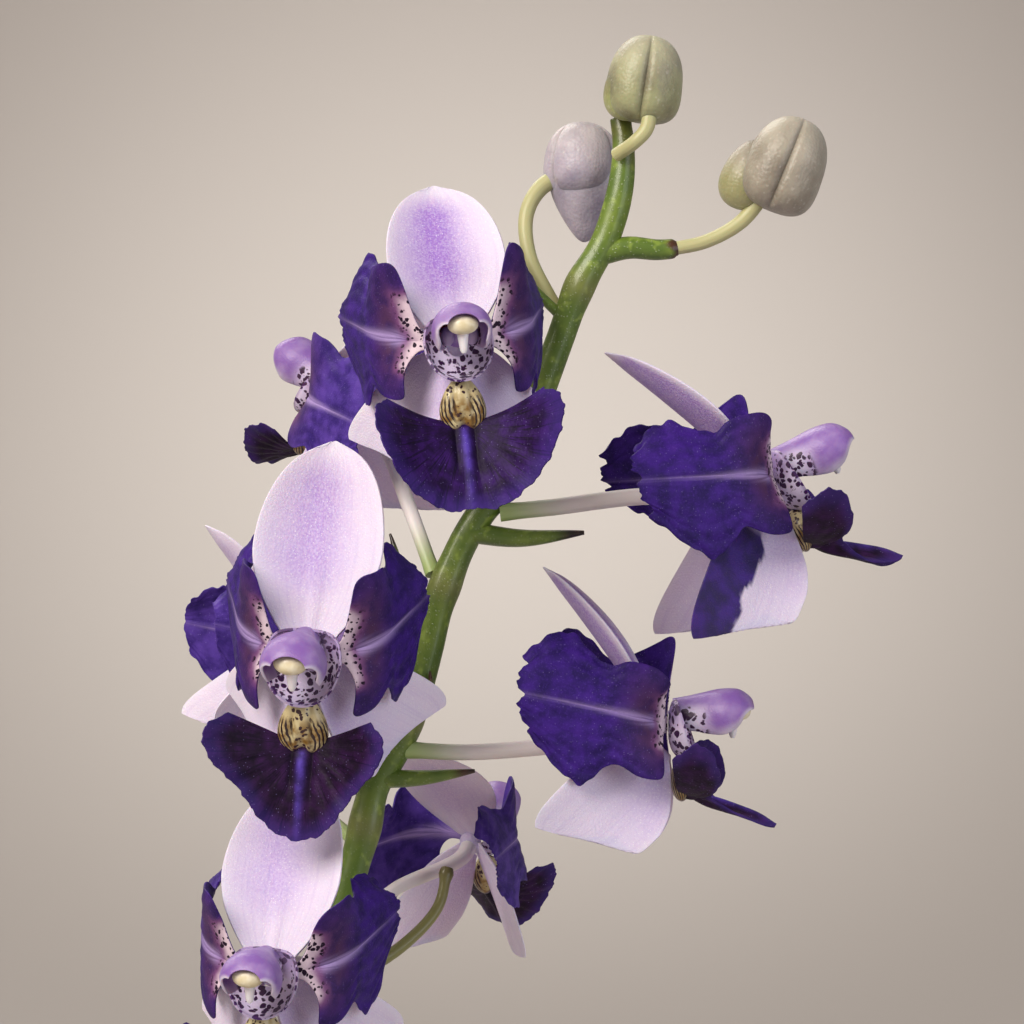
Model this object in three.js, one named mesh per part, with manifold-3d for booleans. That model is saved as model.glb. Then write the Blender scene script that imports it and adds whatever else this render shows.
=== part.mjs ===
// A cut moth orchid spike with eight blooms and three buds, standing in water in a plain slim vase.
// Millimetres, +Z up. The origin is the centre of the vase's flat base. The spike leans to +X,
// and most of its blooms look towards -Y or +X.

import * as THREE from 'three';
import { mergeVertices } from 'three/addons/utils/BufferGeometryUtils.js';
import Module from 'manifold-3d';

const wasm = await Module();
wasm.setup();

// Driving sizes

const GAP = 0.3;
const BLADE = 0.66;

const VASE = { foot: 30, belly: 37, neck: 11.5, lip: 16, height: 140, wall: 3, floor: 5, sides: 16 };
const WATER_LEVEL = 96;

const STEM_RADIUS = { cut: 2.7, middle: 2.25, top: 1.75 };
const PEDICEL_RADIUS = 1.15;

const DORSAL = { length: 27, half: 8.5, skew: 0, cup: 2.6, bend: 1.4, bow: 0.16, slant: 0 };
const LATERAL = { length: 21.6, half: 7.5, skew: -3.3, cup: -1.4, bend: -1.2, bow: 0.08, slant: 0.1 };
const PETAL = { length: 25.5, turn: 0.5, rise: 0.2 };
const LIP = { forward: -1.5, below: -9.2, wings: 0.056, fold: 0.012, span: 98 };
const CALLUS = { top: -4.1, wide: 3.7, thick: 1.7, dent: 0.5 };
const HOOD = { length: 12.3, tilt: 10, arc: 125 };

// Outlines, as half-widths at equal steps from root to tip. Sepals are shares of their widest half.

const DORSAL_WIDTH = [0.36, 0.56, 0.74, 0.88, 0.96, 1, 0.99, 0.95, 0.88, 0.78, 0.66];
const LATERAL_WIDTH = [0.36, 0.54, 0.71, 0.85, 0.94, 0.99, 1, 0.99, 0.97, 0.92, 0.76];
const PETAL_UP = [1, 1.7, 6.6, 9.8, 7.6, 6.4, 8, 9.9, 9.4, 7.8, 5.4];
const PETAL_DOWN = [1, 1.3, 4, 7.8, 8.6, 7.4, 10.2, 11.2, 9.8, 7.8, 5.4];
const LIP_REACH = [10.9, 13, 13.7, 13.9, 13.8, 13.2, 12.5, 13.2, 13.8, 13.9, 13.7, 13, 10.9];
const HOOD_WIDTH = [2.2, 2.5, 3.2, 4, 3.8, 1.9];
const HOOD_RISE = [3.5, 3.5, 3.6, 3.7, 3.1, 1.4];
const HOOD_DROP = [1.6, 2.2, 3.6, 4.3, 2.6, 0.5];
const BOWL_RADIUS = [1.5, 2.9, 3.9, 4.5, 4.75];

// Where each bloom's column base stands, which way it looks (yaw from -Y towards +X, pitch down, roll
// to its own right) and its size. Its lip's dip, how pointed, large and pinched between wings and middle
// lobe the lip's fan is, and how far that lobe's sides hang. Its petals' length, root lobes, saddle, horns
// and sweep back. Its lower sepals' length, drop and twist. Its stalk's way from the spike. Pairs are left
// and right.

const PLAIN_BLOOM = {
  roll: 0, size: 1, heart: 0.3, fan: 1, pinch: 0, hang: 0, spread: 1, lobe: [1, 1], saddle: 0, horn: 1,
  sweep: [78, 78], low: 1, drop: 0, twist: [0, 0],
};

const BLOOMS = [
  { name: 'bloom_1', at: [22.7, -27, 326.3], yaw: 6, pitch: 0, roll: -4, dip: 62, heart: 0,
    lobe: [1.05, 1.25], saddle: 1.6, sweep: [78, 77], seed: 1,
    stalk: [[31.4, -2.6, 315.5], [27, -10, 318], [23.4, -19, 323]] },
  { name: 'bloom_2', at: [1.9, -32, 283], yaw: -10, pitch: 17, roll: 4, size: 1.1, dip: 66, heart: 1,
    spread: 0.78, saddle: 1.6, horn: 0.9, sweep: [70.5, 74], seed: 2,
    stalk: [[15.6, -2.8, 278.4], [10, -9, 281], [4, -19, 283]] },
  { name: 'bloom_3', at: [-3.6, -30, 239.2], yaw: -13, pitch: 12, roll: 4, size: 1.02, dip: 60, heart: 0.6,
    spread: 0.93, lobe: [0.9, 0.8], saddle: 1, horn: 0.72, sweep: [76, 77], seed: 3,
    stalk: [[3.2, -2.8, 236.4], [2, -9, 238.5], [-1, -17, 240]] },
  { name: 'bloom_4', at: [67.9, 0, 307.7], yaw: 98, pitch: -15, size: 1.04, dip: 12, fan: 0.93,
    pinch: 0.45, hang: 1.6, lobe: [0.8, 1.15], horn: 0.8, sweep: [77, 78], low: 1.1, drop: 6, seed: 4,
    stalk: [[29.9, -0.4, 303.2], [36, -0.6, 303.8], [50, -0.2, 305.4]] },
  { name: 'bloom_5', at: [53.1, 0, 272.3], yaw: 86, pitch: 0, dip: 16, fan: 0.93, pinch: 0.5, hang: 1.8,
    lobe: [0.6, 1.2], seed: 5,
    stalk: [[16.4, -0.4, 269.1], [24, -0.7, 268.8], [35, -0.8, 269.6]] },
  { name: 'bloom_6', at: [25.2, 30, 255.6], yaw: 153, pitch: -22, size: 0.87, dip: 58, heart: 0.5,
    fan: 0.8, horn: 0.8, sweep: [77.6, 77.5], drop: 9, twist: [-12, 0], seed: 6,
    stalk: [[6.9, 2.5, 244], [9, 7, 245], [13.4, 14, 248.5]] },
  { name: 'bloom_7', at: [3.8, 18, 320.3], yaw: -130, pitch: -26, roll: 5, size: 0.92, dip: 34, heart: 0.2,
    fan: 0.74, saddle: 2.6, sweep: [78, 77], seed: 7,
    stalk: [[18.6, 1.8, 295.4], [15.4, 6, 304], [11.6, 12, 313]] },
  { name: 'bloom_8', at: [-0.4, 26, 282.8], yaw: 105, pitch: 0, size: 0.8, dip: 30, fan: 0.75, horn: 0.8,
    sweep: [78, 77.5], seed: 8,
    stalk: [[6.9, 1.9, 256.9], [1.6, 7.6, 261.6], [-5, 17, 272]] },
].map((place) => ({ ...PLAIN_BLOOM, ...place }));

const SPIKE = [
  [0, 0, VASE.floor + GAP], [0, 0, 60], [0, 0, 110], [0, 0, 150], [0.5, 0, 180], [1.4, 0, 206], [3, 0, 230],
  [6.4, 0, 247.7], [8.9, 0, 256.6], [10.7, 0, 264], [13.6, 0, 269.2], [16.4, 0, 276.4], [18.3, 0, 283.4],
  [20, 0, 290.6], [23.1, 0, 298.4], [25.7, 0, 302.8], [29.3, 0, 307.8], [32.4, 0, 315], [35, 0, 322],
  [37.1, 0, 327.8], [40, 0, 335.6], [43.6, 0, 342], [45.8, 0, 349.6], [46.2, 0.6, 355.6],
  [45.8, 1.4, 359.3],
];

// Small green horns at the spike's joints, each from root to tip, with its half-width

const BRACTS = [
  { from: [24.4, 0, 300.2], to: [40.6, -0.8, 300.2], bow: [31.6, -0.4, 299.4], radius: 2 },
  { from: [10.4, 0, 265], to: [25, -1, 266.2], bow: [17.4, -0.6, 265.2], radius: 1.8 },
  { from: [19.5, 0, 290], to: [12.8, 3.4, 300], bow: [15.2, 2, 293.6], radius: 1.2 },
  { from: [36.9, 0, 331.5], to: [30.6, 1.2, 340.2], bow: [33.2, 0.6, 335.4], radius: 1 },
  { from: [15.6, 0, 275], to: [18.6, -3, 280.4], bow: [18.6, -1.6, 276.6], radius: 1 },
  { from: [1, 0, 203], to: [5.4, 0.6, 212.6], bow: [4.8, 0.4, 206], radius: 1.2 },
  { from: [0, 0, 168], to: [-4.6, -0.8, 177.4], bow: [-4.2, -0.4, 171], radius: 1.2 },
];
const BRANCH = [[42.6, 0, 340], [47, 0, 340.9], [51, 0, 340.6], [54, 0, 340.8]];
const SPENT_STALK = [[3.6, 1, 237], [9, 4, 237.6], [15, 9, 241], [19.6, 13, 246], [20.9, 15, 251.4]];

const BUDS = [
  { name: 'bud_top', at: [49.3, -1, 365.4], lean: [0.16, 0, 1], radius: 5.4, tall: 5.9,
    lobe: [46.9, -1.4, 364.4, 3.1],
    stalk: [[46, -2.8, 354.6], [47.8, -4.4, 355.8], [49.6, -4.4, 357.6]] },
  { name: 'bud_right', at: [69.4, 0, 352.8], lean: [0.42, 0, 1], radius: 5.7, tall: 7,
    lobe: [63.6, 0.4, 350.4, 3.6],
    stalk: [[54.5, 0, 341], [59, 0, 342], [63.6, 0, 344.8]] },
  { name: 'bud_left', at: [40.4, 8.6, 353.8], lean: [0.05, 0.1, 1], radius: 5.5, tall: 5.6,
    lobe: [41.2, 9, 346.6, 3.6],
    stalk: [[36, 2.1, 333.4], [32.8, 4, 340], [32.4, 6, 346], [34.6, 7.6, 350.4]] },
];

const COLOURS = {
  sepals: 0xcdb6e2, petal_left: 0x35147c, petal_right: 0x35147c, lip: 0x2a0f5c, column: 0xb59ad2,
  anther_cap: 0xefe6cc, bud: 0xc4c4a2, spike: 0x6f962f, vase: 0xe9e3d6, water: 0xcfdde0,
};

// Numbers and vectors

const radians = (degrees) => degrees * Math.PI / 180;
const vector = (p) => new THREE.Vector3(p[0], p[1], p[2]);
const hump = (x, centre, width) => Math.exp(-(((x - centre) / width) ** 2));
const between = (value, low, high) => Math.min(Math.max(value, low), high);
const steps = (count) => Array.from({ length: count + 1 }, (_, i) => i / count);

// A smooth line through values at equal steps from 0 to 1
function smooth(values, t) {
  const last = values.length - 1;
  const i = Math.min(Math.floor(between(t, 0, 1) * last), last - 1);
  const f = between(t, 0, 1) * last - i;
  const slope = (k) => (values[Math.min(k + 1, last)] - values[Math.max(k - 1, 0)]) / 2;
  const [a, b] = [values[i], values[i + 1]];
  return (2 * f ** 3 - 3 * f ** 2 + 1) * a + (f ** 3 - 2 * f ** 2 + f) * slope(i)
    + (3 * f ** 2 - 2 * f ** 3) * b + (f ** 3 - f ** 2) * slope(i + 1);
}

// Solids

function geometry(points, triangles) {
  const shape = new THREE.BufferGeometry();
  const numbers = points.flatMap((p) => [p.x, p.y, p.z]);
  shape.setAttribute('position', new THREE.Float32BufferAttribute(numbers, 3));
  shape.setIndex(triangles.flat());
  return shape;
}

// A thin curved sheet. surface(t, c) gives its middle, t along and c across. Both faces are split alike.
function blade(rows, columns, surface, thickness = BLADE) {
  const wide = columns.length;
  const middle = rows.flatMap((t) => columns.map((c) => surface(t, c)));
  const at = (i, j) => middle[between(i, 0, rows.length - 1) * wide + between(j, 0, wide - 1)];
  const normal = (i, j) => {
    const along = at(i + 1, j).clone().sub(at(i - 1, j));
    const across = at(i, j + 1).clone().sub(at(i, j - 1));
    return along.cross(across).normalize();
  };
  const offset = (sign) => rows.flatMap((_, i) => columns.map((__, j) =>
    at(i, j).clone().addScaledVector(normal(i, j), sign * thickness / 2)));
  const points = [...offset(1), ...offset(-1)];
  const half = middle.length;
  const triangles = [];
  const quad = (a, b, c, d) => triangles.push([a, b, c], [a, c, d]);
  for (let i = 0; i + 1 < rows.length; i += 1) {
    for (let j = 0; j + 1 < wide; j += 1) {
      const [a, b, c, d] = [i * wide + j, (i + 1) * wide + j, (i + 1) * wide + j + 1, i * wide + j + 1];
      quad(a, b, c, d);
      triangles.push([half + a, half + c, half + b], [half + a, half + d, half + c]);
    }
  }
  const end = rows.length - 1;
  for (let i = 0; i < end; i += 1) {
    const [a, b] = [i * wide, (i + 1) * wide];
    quad(a, a + half, b + half, b);
    quad(b + wide - 1, b + wide - 1 + half, a + wide - 1 + half, a + wide - 1);
  }
  for (let j = 0; j + 1 < wide; j += 1) {
    const [a, b] = [j, end * wide + j];
    quad(a + 1, a + 1 + half, a + half, a);
    quad(b, b + half, b + 1 + half, b + 1);
  }
  return geometry(points, triangles);
}

// A round bar along a smooth line. radius(t) may change on the way. squash flattens it in its second axis.
function bar(line, radius, sides, count, squash = 1) {
  const way = line.map((p) => (p.isVector3 ? p : vector(p)));
  const curve = new THREE.CatmullRomCurve3(way, false, 'centripetal');
  const frames = curve.computeFrenetFrames(count, false);
  const points = [];
  steps(count).forEach((t, i) => {
    const centre = curve.getPointAt(t);
    for (let k = 0; k < sides; k += 1) {
      const angle = 2 * Math.PI * k / sides;
      points.push(centre.clone()
        .addScaledVector(frames.normals[i], Math.cos(angle) * radius(t))
        .addScaledVector(frames.binormals[i], Math.sin(angle) * radius(t) * squash));
    }
  });
  const triangles = [];
  for (let i = 0; i < count; i += 1) {
    for (let k = 0; k < sides; k += 1) {
      const [a, b] = [i * sides + k, i * sides + (k + 1) % sides];
      triangles.push([a, b, b + sides], [a, b + sides, a + sides]);
    }
  }
  const start = points.push(curve.getPointAt(0)) - 1;
  const stop = points.push(curve.getPointAt(1)) - 1;
  for (let k = 0; k < sides; k += 1) {
    const next = (k + 1) % sides;
    triangles.push([start, next, k], [stop, count * sides + k, count * sides + next]);
  }
  return geometry(points, triangles);
}

// A ball pulled to shape: reach(up, around) gives its surface from its centre, up from -1 to 1
function ball(centre, reach, rings, sides) {
  const points = [vector(centre).add(reach(-1, 0))];
  for (let i = 1; i < rings; i += 1) {
    for (let k = 0; k < sides; k += 1) {
      points.push(vector(centre).add(reach(-Math.cos(Math.PI * i / rings), 2 * Math.PI * k / sides)));
    }
  }
  const top = points.push(vector(centre).add(reach(1, 0))) - 1;
  const triangles = [];
  for (let k = 0; k < sides; k += 1) {
    const next = (k + 1) % sides;
    triangles.push([0, 1 + next, 1 + k], [top, top - sides + k, top - sides + next]);
    for (let i = 0; i + 2 < rings; i += 1) {
      const [a, b] = [1 + i * sides + k, 1 + i * sides + next];
      triangles.push([a, b, b + sides], [a, b + sides, a + sides]);
    }
  }
  return geometry(points, triangles);
}

function egg(centre, [rx, ry, rz], rings, sides) {
  const reach = (up, around) => {
    const flat = Math.sqrt(Math.max(1 - up * up, 0));
    return new THREE.Vector3(rx * flat * Math.cos(around), ry * flat * Math.sin(around), rz * up);
  };
  return ball(centre, reach, rings, sides);
}

function toSolid(shape) {
  const bare = shape.clone();
  bare.deleteAttribute('normal');
  bare.deleteAttribute('uv');
  const merged = mergeVertices(bare, 1e-5);
  return new wasm.Manifold(new wasm.Mesh({
    numProp: 3,
    vertProperties: new Float32Array(merged.attributes.position.array),
    triVerts: new Uint32Array(merged.index.array),
  }));
}

function toGeometry(solid) {
  const mesh = solid.getMesh();
  const shape = new THREE.BufferGeometry();
  shape.setAttribute('position', new THREE.BufferAttribute(new Float32Array(mesh.vertProperties), 3));
  shape.setIndex(new THREE.BufferAttribute(new Uint32Array(mesh.triVerts), 1));
  return shape;
}

function fuse(shapes) {
  return toGeometry(shapes.map(toSolid).reduce((sum, next) => sum.add(next)));
}

function node(name, shape, colour, roughness = 0.5) {
  const material = new THREE.MeshStandardMaterial({ color: colour, roughness, metalness: 0 });
  const mesh = new THREE.Mesh(shape, material);
  mesh.name = name;
  return mesh;
}

// Bloom pieces, in the bloom's own frame: it looks along -Y, and X is to the viewer's right

// A sepal runs from root along one line and is cupped across it; its tip row is bowed to a round end.
function sepal(root, along, across, size, width) {
  const a = vector(along).normalize();
  const b = vector(across);
  b.addScaledVector(a, -b.dot(a)).normalize();
  const front = new THREE.Vector3().crossVectors(b, a);
  const surface = (t, c) => {
    const share = smooth(width, t);
    return vector(root)
      .addScaledVector(a, size.length * (t - size.bow * t ** 3 * c * c + size.slant * t ** 3 * c))
      .addScaledVector(b, size.half * share * c + size.skew * share)
      .addScaledVector(front, size.cup * share * c * c - size.bend * t * t);
  };
  return blade(steps(5), [-1, -0.55, 0, 0.55, 1], surface);
}

function sepalsAndStalk(stalkLine, place) {
  const dorsal = sepal([0, 2.6, 1], [0, 0.54, 0.84], [1, 0, 0], DORSAL, DORSAL_WIDTH);
  const dropped = (p) => vector(p).applyAxisAngle(new THREE.Vector3(1, 0, 0), -radians(place.drop));
  const laterals = [-1, 1].map((side) => {
    const along = dropped([side * 0.55, 0.64, -0.53]).normalize();
    const twist = radians(place.twist[side < 0 ? 0 : 1]);
    const across = dropped([side * 0.13, 0.5, 0.86]).applyAxisAngle(along, twist);
    const size = {
      ...LATERAL, length: LATERAL.length * place.low, cup: side * LATERAL.cup, bend: side * LATERAL.bend,
    };
    return sepal([side * 1.1, 2.9, -1.2], along.toArray(), across.toArray(), size, LATERAL_WIDTH);
  });
  const hub = egg([0, 2.9, -0.3], [1.9, 1.6, 2.1], 4, 5);
  const stalk = bar(stalkLine, (t) => PEDICEL_RADIUS * (1 + 0.25 * t ** 4), 5, 6);
  return fuse([hub, dorsal, ...laterals, stalk]);
}

// A petal leaves the column sideways, turns back and is cupped; two lobes at its root curl forward.
function petal(side, place) {
  const which = side < 0 ? 0 : 1;
  const lobe = place.lobe[which];
  const seed = place.seed + 2 * which;
  const turned = radians(place.sweep[which]);
  const whole = PETAL.length * place.spread;
  const bent = whole * PETAL.turn;
  const bendRate = turned / bent;
  const surface = (t, c) => {
    const edge = Math.abs(c);
    const lobeHere = hump(t, 0.26, 0.12);
    const hornHere = between((t - 0.45) / 0.2, 0, 1);
    const raise = c > 0 ? 1 + (lobe - 1) * lobeHere + (place.horn - 1) * hornHere : 1;
    const saddle = c > 0 ? place.saddle * hump(t, 0.46, 0.12) : 0;
    const height = (smooth(c > 0 ? PETAL_UP : PETAL_DOWN, t) + saddle) * c * raise;
    const jag = 0.7 * Math.sin(c * 8 + seed) * t ** 4;
    const lean = (c > 0 ? 2 : 2.6) * hump(t, 0.32, 0.12) * edge ** 3;
    const s = whole * t - 1.2 * c * c * t ** 3 + jag - lean;
    const first = between(s, 0, bent);
    const rest = Math.max(s - first, 0);
    const angle = bendRate * first;
    const wave = 0.4 * Math.sin(14 * t + seed + 2 * c) * edge ** 3 * between((t - 0.4) / 0.2, 0, 1);
    const curl = (c > 0 ? 2.4 : 1.6) * hump(t, 0.27, 0.13) * edge ** 1.6;
    const cup = (c > 0 ? -3.4 : -0.9) * between((t - 0.35) / 0.35, 0, 1) * c * c;
    const out = curl + cup + wave;
    return new THREE.Vector3(
      side * (2.45 + Math.sin(angle) / bendRate + rest * Math.cos(turned) + Math.sin(angle) * out),
      0.95 + (1 - Math.cos(angle)) / bendRate + rest * Math.sin(turned) - Math.cos(angle) * out,
      0.3 + PETAL.rise * s + height,
    );
  };
  const rows = [0, 0.1, 0.2, 0.3, 0.4, 0.54, 0.7, 0.86, 1];
  const columns = [-1, -0.6, -0.25, 0, 0.35, 1];
  const facing = side < 0 ? surface : (t, c) => surface(t, -c);
  return blade(rows, side < 0 ? columns : columns.map((c) => -c).reverse(), facing);
}

// The lip is a fan round its claw, with raised wings and a lobed edge. A pinched one has a narrow middle
// lobe whose sides hang. A heart-shaped callus stands on the claw.
function lip(place) {
  const down = radians(place.dip);
  const claw = LIP.below - 2 * Math.sin(down);
  const point = place.heart;
  const span = LIP.span + 14 * point;
  const surface = (r, q) => {
    const turn = radians(span * q);
    const wide = Math.abs(q);
    const waist = 1 - 0.27 * point * hump(wide, 0.42, 0.3) - 0.1 * point * wide
      - place.pinch * hump(wide, 0.34, 0.2) + 0.5 * place.pinch * hump(q, 0, 0.12);
    const edge = 1 + 0.015 * Math.sin(50 * q + place.seed);
    const reach = smooth(LIP_REACH, (q + 1) / 2) * place.fan * waist * edge;
    const radius = 1 + (reach - 1) * r;
    const x = radius * Math.sin(turn);
    const forward = radius * Math.cos(turn) * (Math.cos(turn) < 0 ? 0.85 : 1);
    const middle = between(wide / 0.12, 0, 1) * (1 - between((wide - 0.16) / 0.16, 0, 1));
    const lift = LIP.wings * x * x - LIP.fold * Math.max(forward, 0) ** 2 - place.hang * middle * r;
    return new THREE.Vector3(
      x,
      LIP.forward - forward * Math.cos(down) - lift * Math.sin(down),
      claw - forward * Math.sin(down) + lift * Math.cos(down),
    );
  };
  const fan = blade([0, 0.35, 0.7, 1], steps(11).map((q) => 2 * q - 1), surface);
  const tall = (CALLUS.top - claw + 1.2) / 2;
  const heart = (up, around) => {
    const flat = Math.sqrt(Math.max(1 - up * up, 0));
    const x = flat * Math.cos(around);
    const dent = CALLUS.dent * Math.max(up, 0) * (1 - Math.abs(x));
    return new THREE.Vector3(CALLUS.wide * x * (0.84 - 0.3 * up), CALLUS.thick * flat * Math.sin(around),
      tall * up - dent);
  };
  return fuse([fan, ball([0, LIP.forward, CALLUS.top - tall], heart, 5, 8)]);
}

// The column is a spotted bowl with a duck-billed hood over it and a beak below the hood.
function column() {
  const bowlSurface = (t, q) => {
    const around = 2 * Math.PI * q;
    const radius = smooth(BOWL_RADIUS, t);
    const low = Math.max(-Math.cos(around), 0);
    return new THREE.Vector3(radius * Math.sin(around), 0.2 - 3.6 * t ** 1.6 - 0.6 * low * t,
      radius * Math.cos(around));
  };
  const sides = 8;
  const rows = steps(2);
  const points = [-1, 1].flatMap((face) => rows.flatMap((t) => steps(sides).slice(0, sides).map((q) => {
    const p = bowlSurface(t, q);
    const out = new THREE.Vector3(p.x, 0, p.z).normalize();
    const back = new THREE.Vector3(0, face * BLADE / 2 * (1 - t), 0);
    return p.addScaledVector(out, face * BLADE / 2).add(back);
  })));
  const layer = rows.length * sides;
  const triangles = [];
  const quad = (a, b, c, d) => triangles.push([a, b, c], [a, c, d]);
  const inner = points.push(new THREE.Vector3(0, -0.2, 0)) - 1;
  const outer = points.push(new THREE.Vector3(0, 0.3, 0)) - 1;
  for (let k = 0; k < sides; k += 1) {
    const n = (k + 1) % sides;
    for (let i = 0; i + 1 < rows.length; i += 1) {
      const [a, b] = [i * sides + k, i * sides + n];
      quad(b, b + sides, a + sides, a);
      quad(layer + a, layer + a + sides, layer + b + sides, layer + b);
    }
    const rim = (rows.length - 1) * sides;
    quad(rim + n, layer + rim + n, layer + rim + k, rim + k);
    triangles.push([inner, n, k], [outer, layer + k, layer + n]);
  }
  const bowl = geometry(points, triangles);

  const tilt = radians(HOOD.tilt);
  const hoodSurface = (t, c) => {
    const turn = radians(HOOD.arc) * c;
    const along = 1 + (HOOD.length - 1.6) * t;
    const up = smooth(Math.cos(turn) > 0 ? HOOD_RISE : HOOD_DROP, t) * Math.cos(turn);
    return new THREE.Vector3(smooth(HOOD_WIDTH, t) * Math.sin(turn),
      -along * Math.cos(tilt) + up * Math.sin(tilt), 0.4 + along * Math.sin(tilt) + up * Math.cos(tilt));
  };
  const hood = blade([0, 0.3, 0.65, 1], [-1, -0.5, 0, 0.5, 1], hoodSurface);
  const core = bar([[0, 0, 1], [0, -3.4, 2.4], [0, -6.6, 3.3]], (t) => 1.5 - 0.1 * t, 4, 2);
  const beak = bar([[0, -5.8, 2.9], [0, -7.7, 0.4], [0, -7.6, -1.6]], (t) => 1 - 0.7 * t, 4, 2);
  return fuse([bowl, hood, core, beak]);
}

function bloom(place) {
  const group = new THREE.Group();
  group.position.copy(vector(place.at));
  group.rotation.set(radians(place.pitch), radians(place.roll), radians(place.yaw), 'ZXY');
  group.scale.setScalar(place.size);
  group.updateMatrixWorld(true);
  const stalk = [...place.stalk.map((p) => group.worldToLocal(vector(p))),
    new THREE.Vector3(0, 7, -1.2), new THREE.Vector3(0, 3, -0.4)];
  const colour = (piece) => COLOURS[piece];
  const pieces = {
    sepals: sepalsAndStalk(stalk, place),
    petal_left: petal(-1, place),
    petal_right: petal(1, place),
    lip: lip(place),
    column: column(),
    anther_cap: egg([0, -9.2, 2.1], [2.1, 1.2, 1.3], 4, 7),
  };
  for (const [piece, shape] of Object.entries(pieces)) {
    group.add(node(`${place.name}_${piece}`, shape, colour(piece)));
  }
  return group;
}

// A bud is a fat drop with three grooves where its sepals meet, on its own curved stalk.
function bud(place) {
  const up = vector(place.lean).normalize();
  const turn = new THREE.Quaternion().setFromUnitVectors(new THREE.Vector3(0, 0, 1), up);
  const reach = (level, around) => {
    const flat = Math.sqrt(Math.max(1 - level * level, 0)) ** 0.85;
    const seam = 1 - 0.13 * hump(Math.abs(((around * 3 / (2 * Math.PI) + 0.75) % 1) - 0.5), 0, 0.14);
    const waist = 1 - 0.1 * level;
    return new THREE.Vector3(place.radius * flat * seam * waist * Math.cos(around),
      place.radius * flat * seam * waist * Math.sin(around), place.tall * level).applyQuaternion(turn);
  };
  const foot = vector(place.at).addScaledVector(up, -place.tall * 0.9);
  const [x, y, z, size] = place.lobe;
  const line = [...place.stalk.map(vector), foot, foot.clone().addScaledVector(up, place.tall * 0.4)];
  const stalk = bar(line, (t) => 0.95 + 0.35 * t ** 3, 6, 7);
  const lobe = egg([x, y, z], [size, size * 0.9, size * 1.3], 5, 8);
  return node(place.name, fuse([ball(place.at, reach, 7, 12), lobe, stalk]), COLOURS.bud, 0.6);
}

// The spike with its branch, spent stalk and bracts
function spike() {
  const radius = (t) => {
    const joint = [0.47, 0.57, 0.655, 0.7, 0.745, 0.8, 0.845, 0.93]
      .reduce((sum, place) => sum + 0.3 * hump(t, place, 0.008), 0);
    const body = t < 0.6
      ? STEM_RADIUS.cut + (STEM_RADIUS.middle - STEM_RADIUS.cut) * t / 0.6
      : STEM_RADIUS.middle + (STEM_RADIUS.top - STEM_RADIUS.middle) * (t - 0.6) / 0.4;
    return body + joint;
  };
  const stem = bar(SPIKE, radius, 8, 36);
  const branch = bar(BRANCH, (t) => 1.7 - 0.35 * t, 7, 4);
  const spent = bar(SPENT_STALK, (t) => 1 - 0.2 * t, 6, 6);
  const bracts = BRACTS.map((b) =>
    bar([b.from, b.bow, b.to], (t) => b.radius * (1 - 0.8 * t ** 2), 5, 3, 0.8));
  return node('spike', fuse([stem, branch, spent, ...bracts]), COLOURS.spike, 0.45);
}

// The vase is turned: a round foot, a low belly, a slim neck and a small flared lip
function vase() {
  const outside = [[VASE.foot, 0], [VASE.foot + 2.5, 2.5], [VASE.belly - 1, 22], [VASE.belly, 38],
    [VASE.belly - 4, 56], [VASE.belly - 13, 76], [VASE.neck + 5, 94], [VASE.neck + 0.6, 112],
    [VASE.neck + 0.4, 124], [VASE.lip - 1.6, 135], [VASE.lip, VASE.height - 1]];
  const inside = outside.slice(2, -1).reverse().map(([r, z]) => [r - VASE.wall, z]);
  const profile = [[0, 0], ...outside, [VASE.lip - 1.2, VASE.height], ...inside,
    [VASE.foot - 1, VASE.floor + 2], [VASE.foot - 4, VASE.floor], [0, VASE.floor]];
  const shape = new THREE.LatheGeometry(profile.map(([r, z]) => new THREE.Vector2(r, z)), VASE.sides);
  shape.rotateX(Math.PI / 2);
  return { shape, inside };
}

// The water fills the vase up to its level, with a plain hole for the spike
function water(inside) {
  const wet = inside.filter(([, z]) => z < WATER_LEVEL).reverse();
  const next = inside.filter(([, z]) => z >= WATER_LEVEL).at(-1);
  const last = wet.at(-1);
  const share = (WATER_LEVEL - last[1]) / (next[1] - last[1]);
  const top = [last[0] + (next[0] - last[0]) * share, WATER_LEVEL];
  const low = VASE.floor + GAP;
  const hole = STEM_RADIUS.cut + 2 * GAP;
  const clear = 1.6 * GAP;
  const profile = [[hole, low], [VASE.foot - 4.4, low], [VASE.foot - 1 - clear, low + 2],
    ...wet.map(([r, z]) => [r - clear, z]), [top[0] - clear, top[1]], [hole, WATER_LEVEL], [hole, low]];
  const shape = new THREE.LatheGeometry(profile.map(([r, z]) => new THREE.Vector2(r, z)), VASE.sides);
  shape.rotateX(Math.PI / 2);
  return shape;
}

const closed = (shape) => toGeometry(toSolid(shape));

const orchid = new THREE.Group();
const vessel = vase();
orchid.add(node('vase', closed(vessel.shape), COLOURS.vase, 0.3));
orchid.add(node('water', closed(water(vessel.inside)), COLOURS.water, 0.1));
orchid.add(spike());
BUDS.forEach((place) => orchid.add(bud(place)));
BLOOMS.forEach((place) => orchid.add(bloom(place)));

export default orchid;
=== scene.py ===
import math

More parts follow.
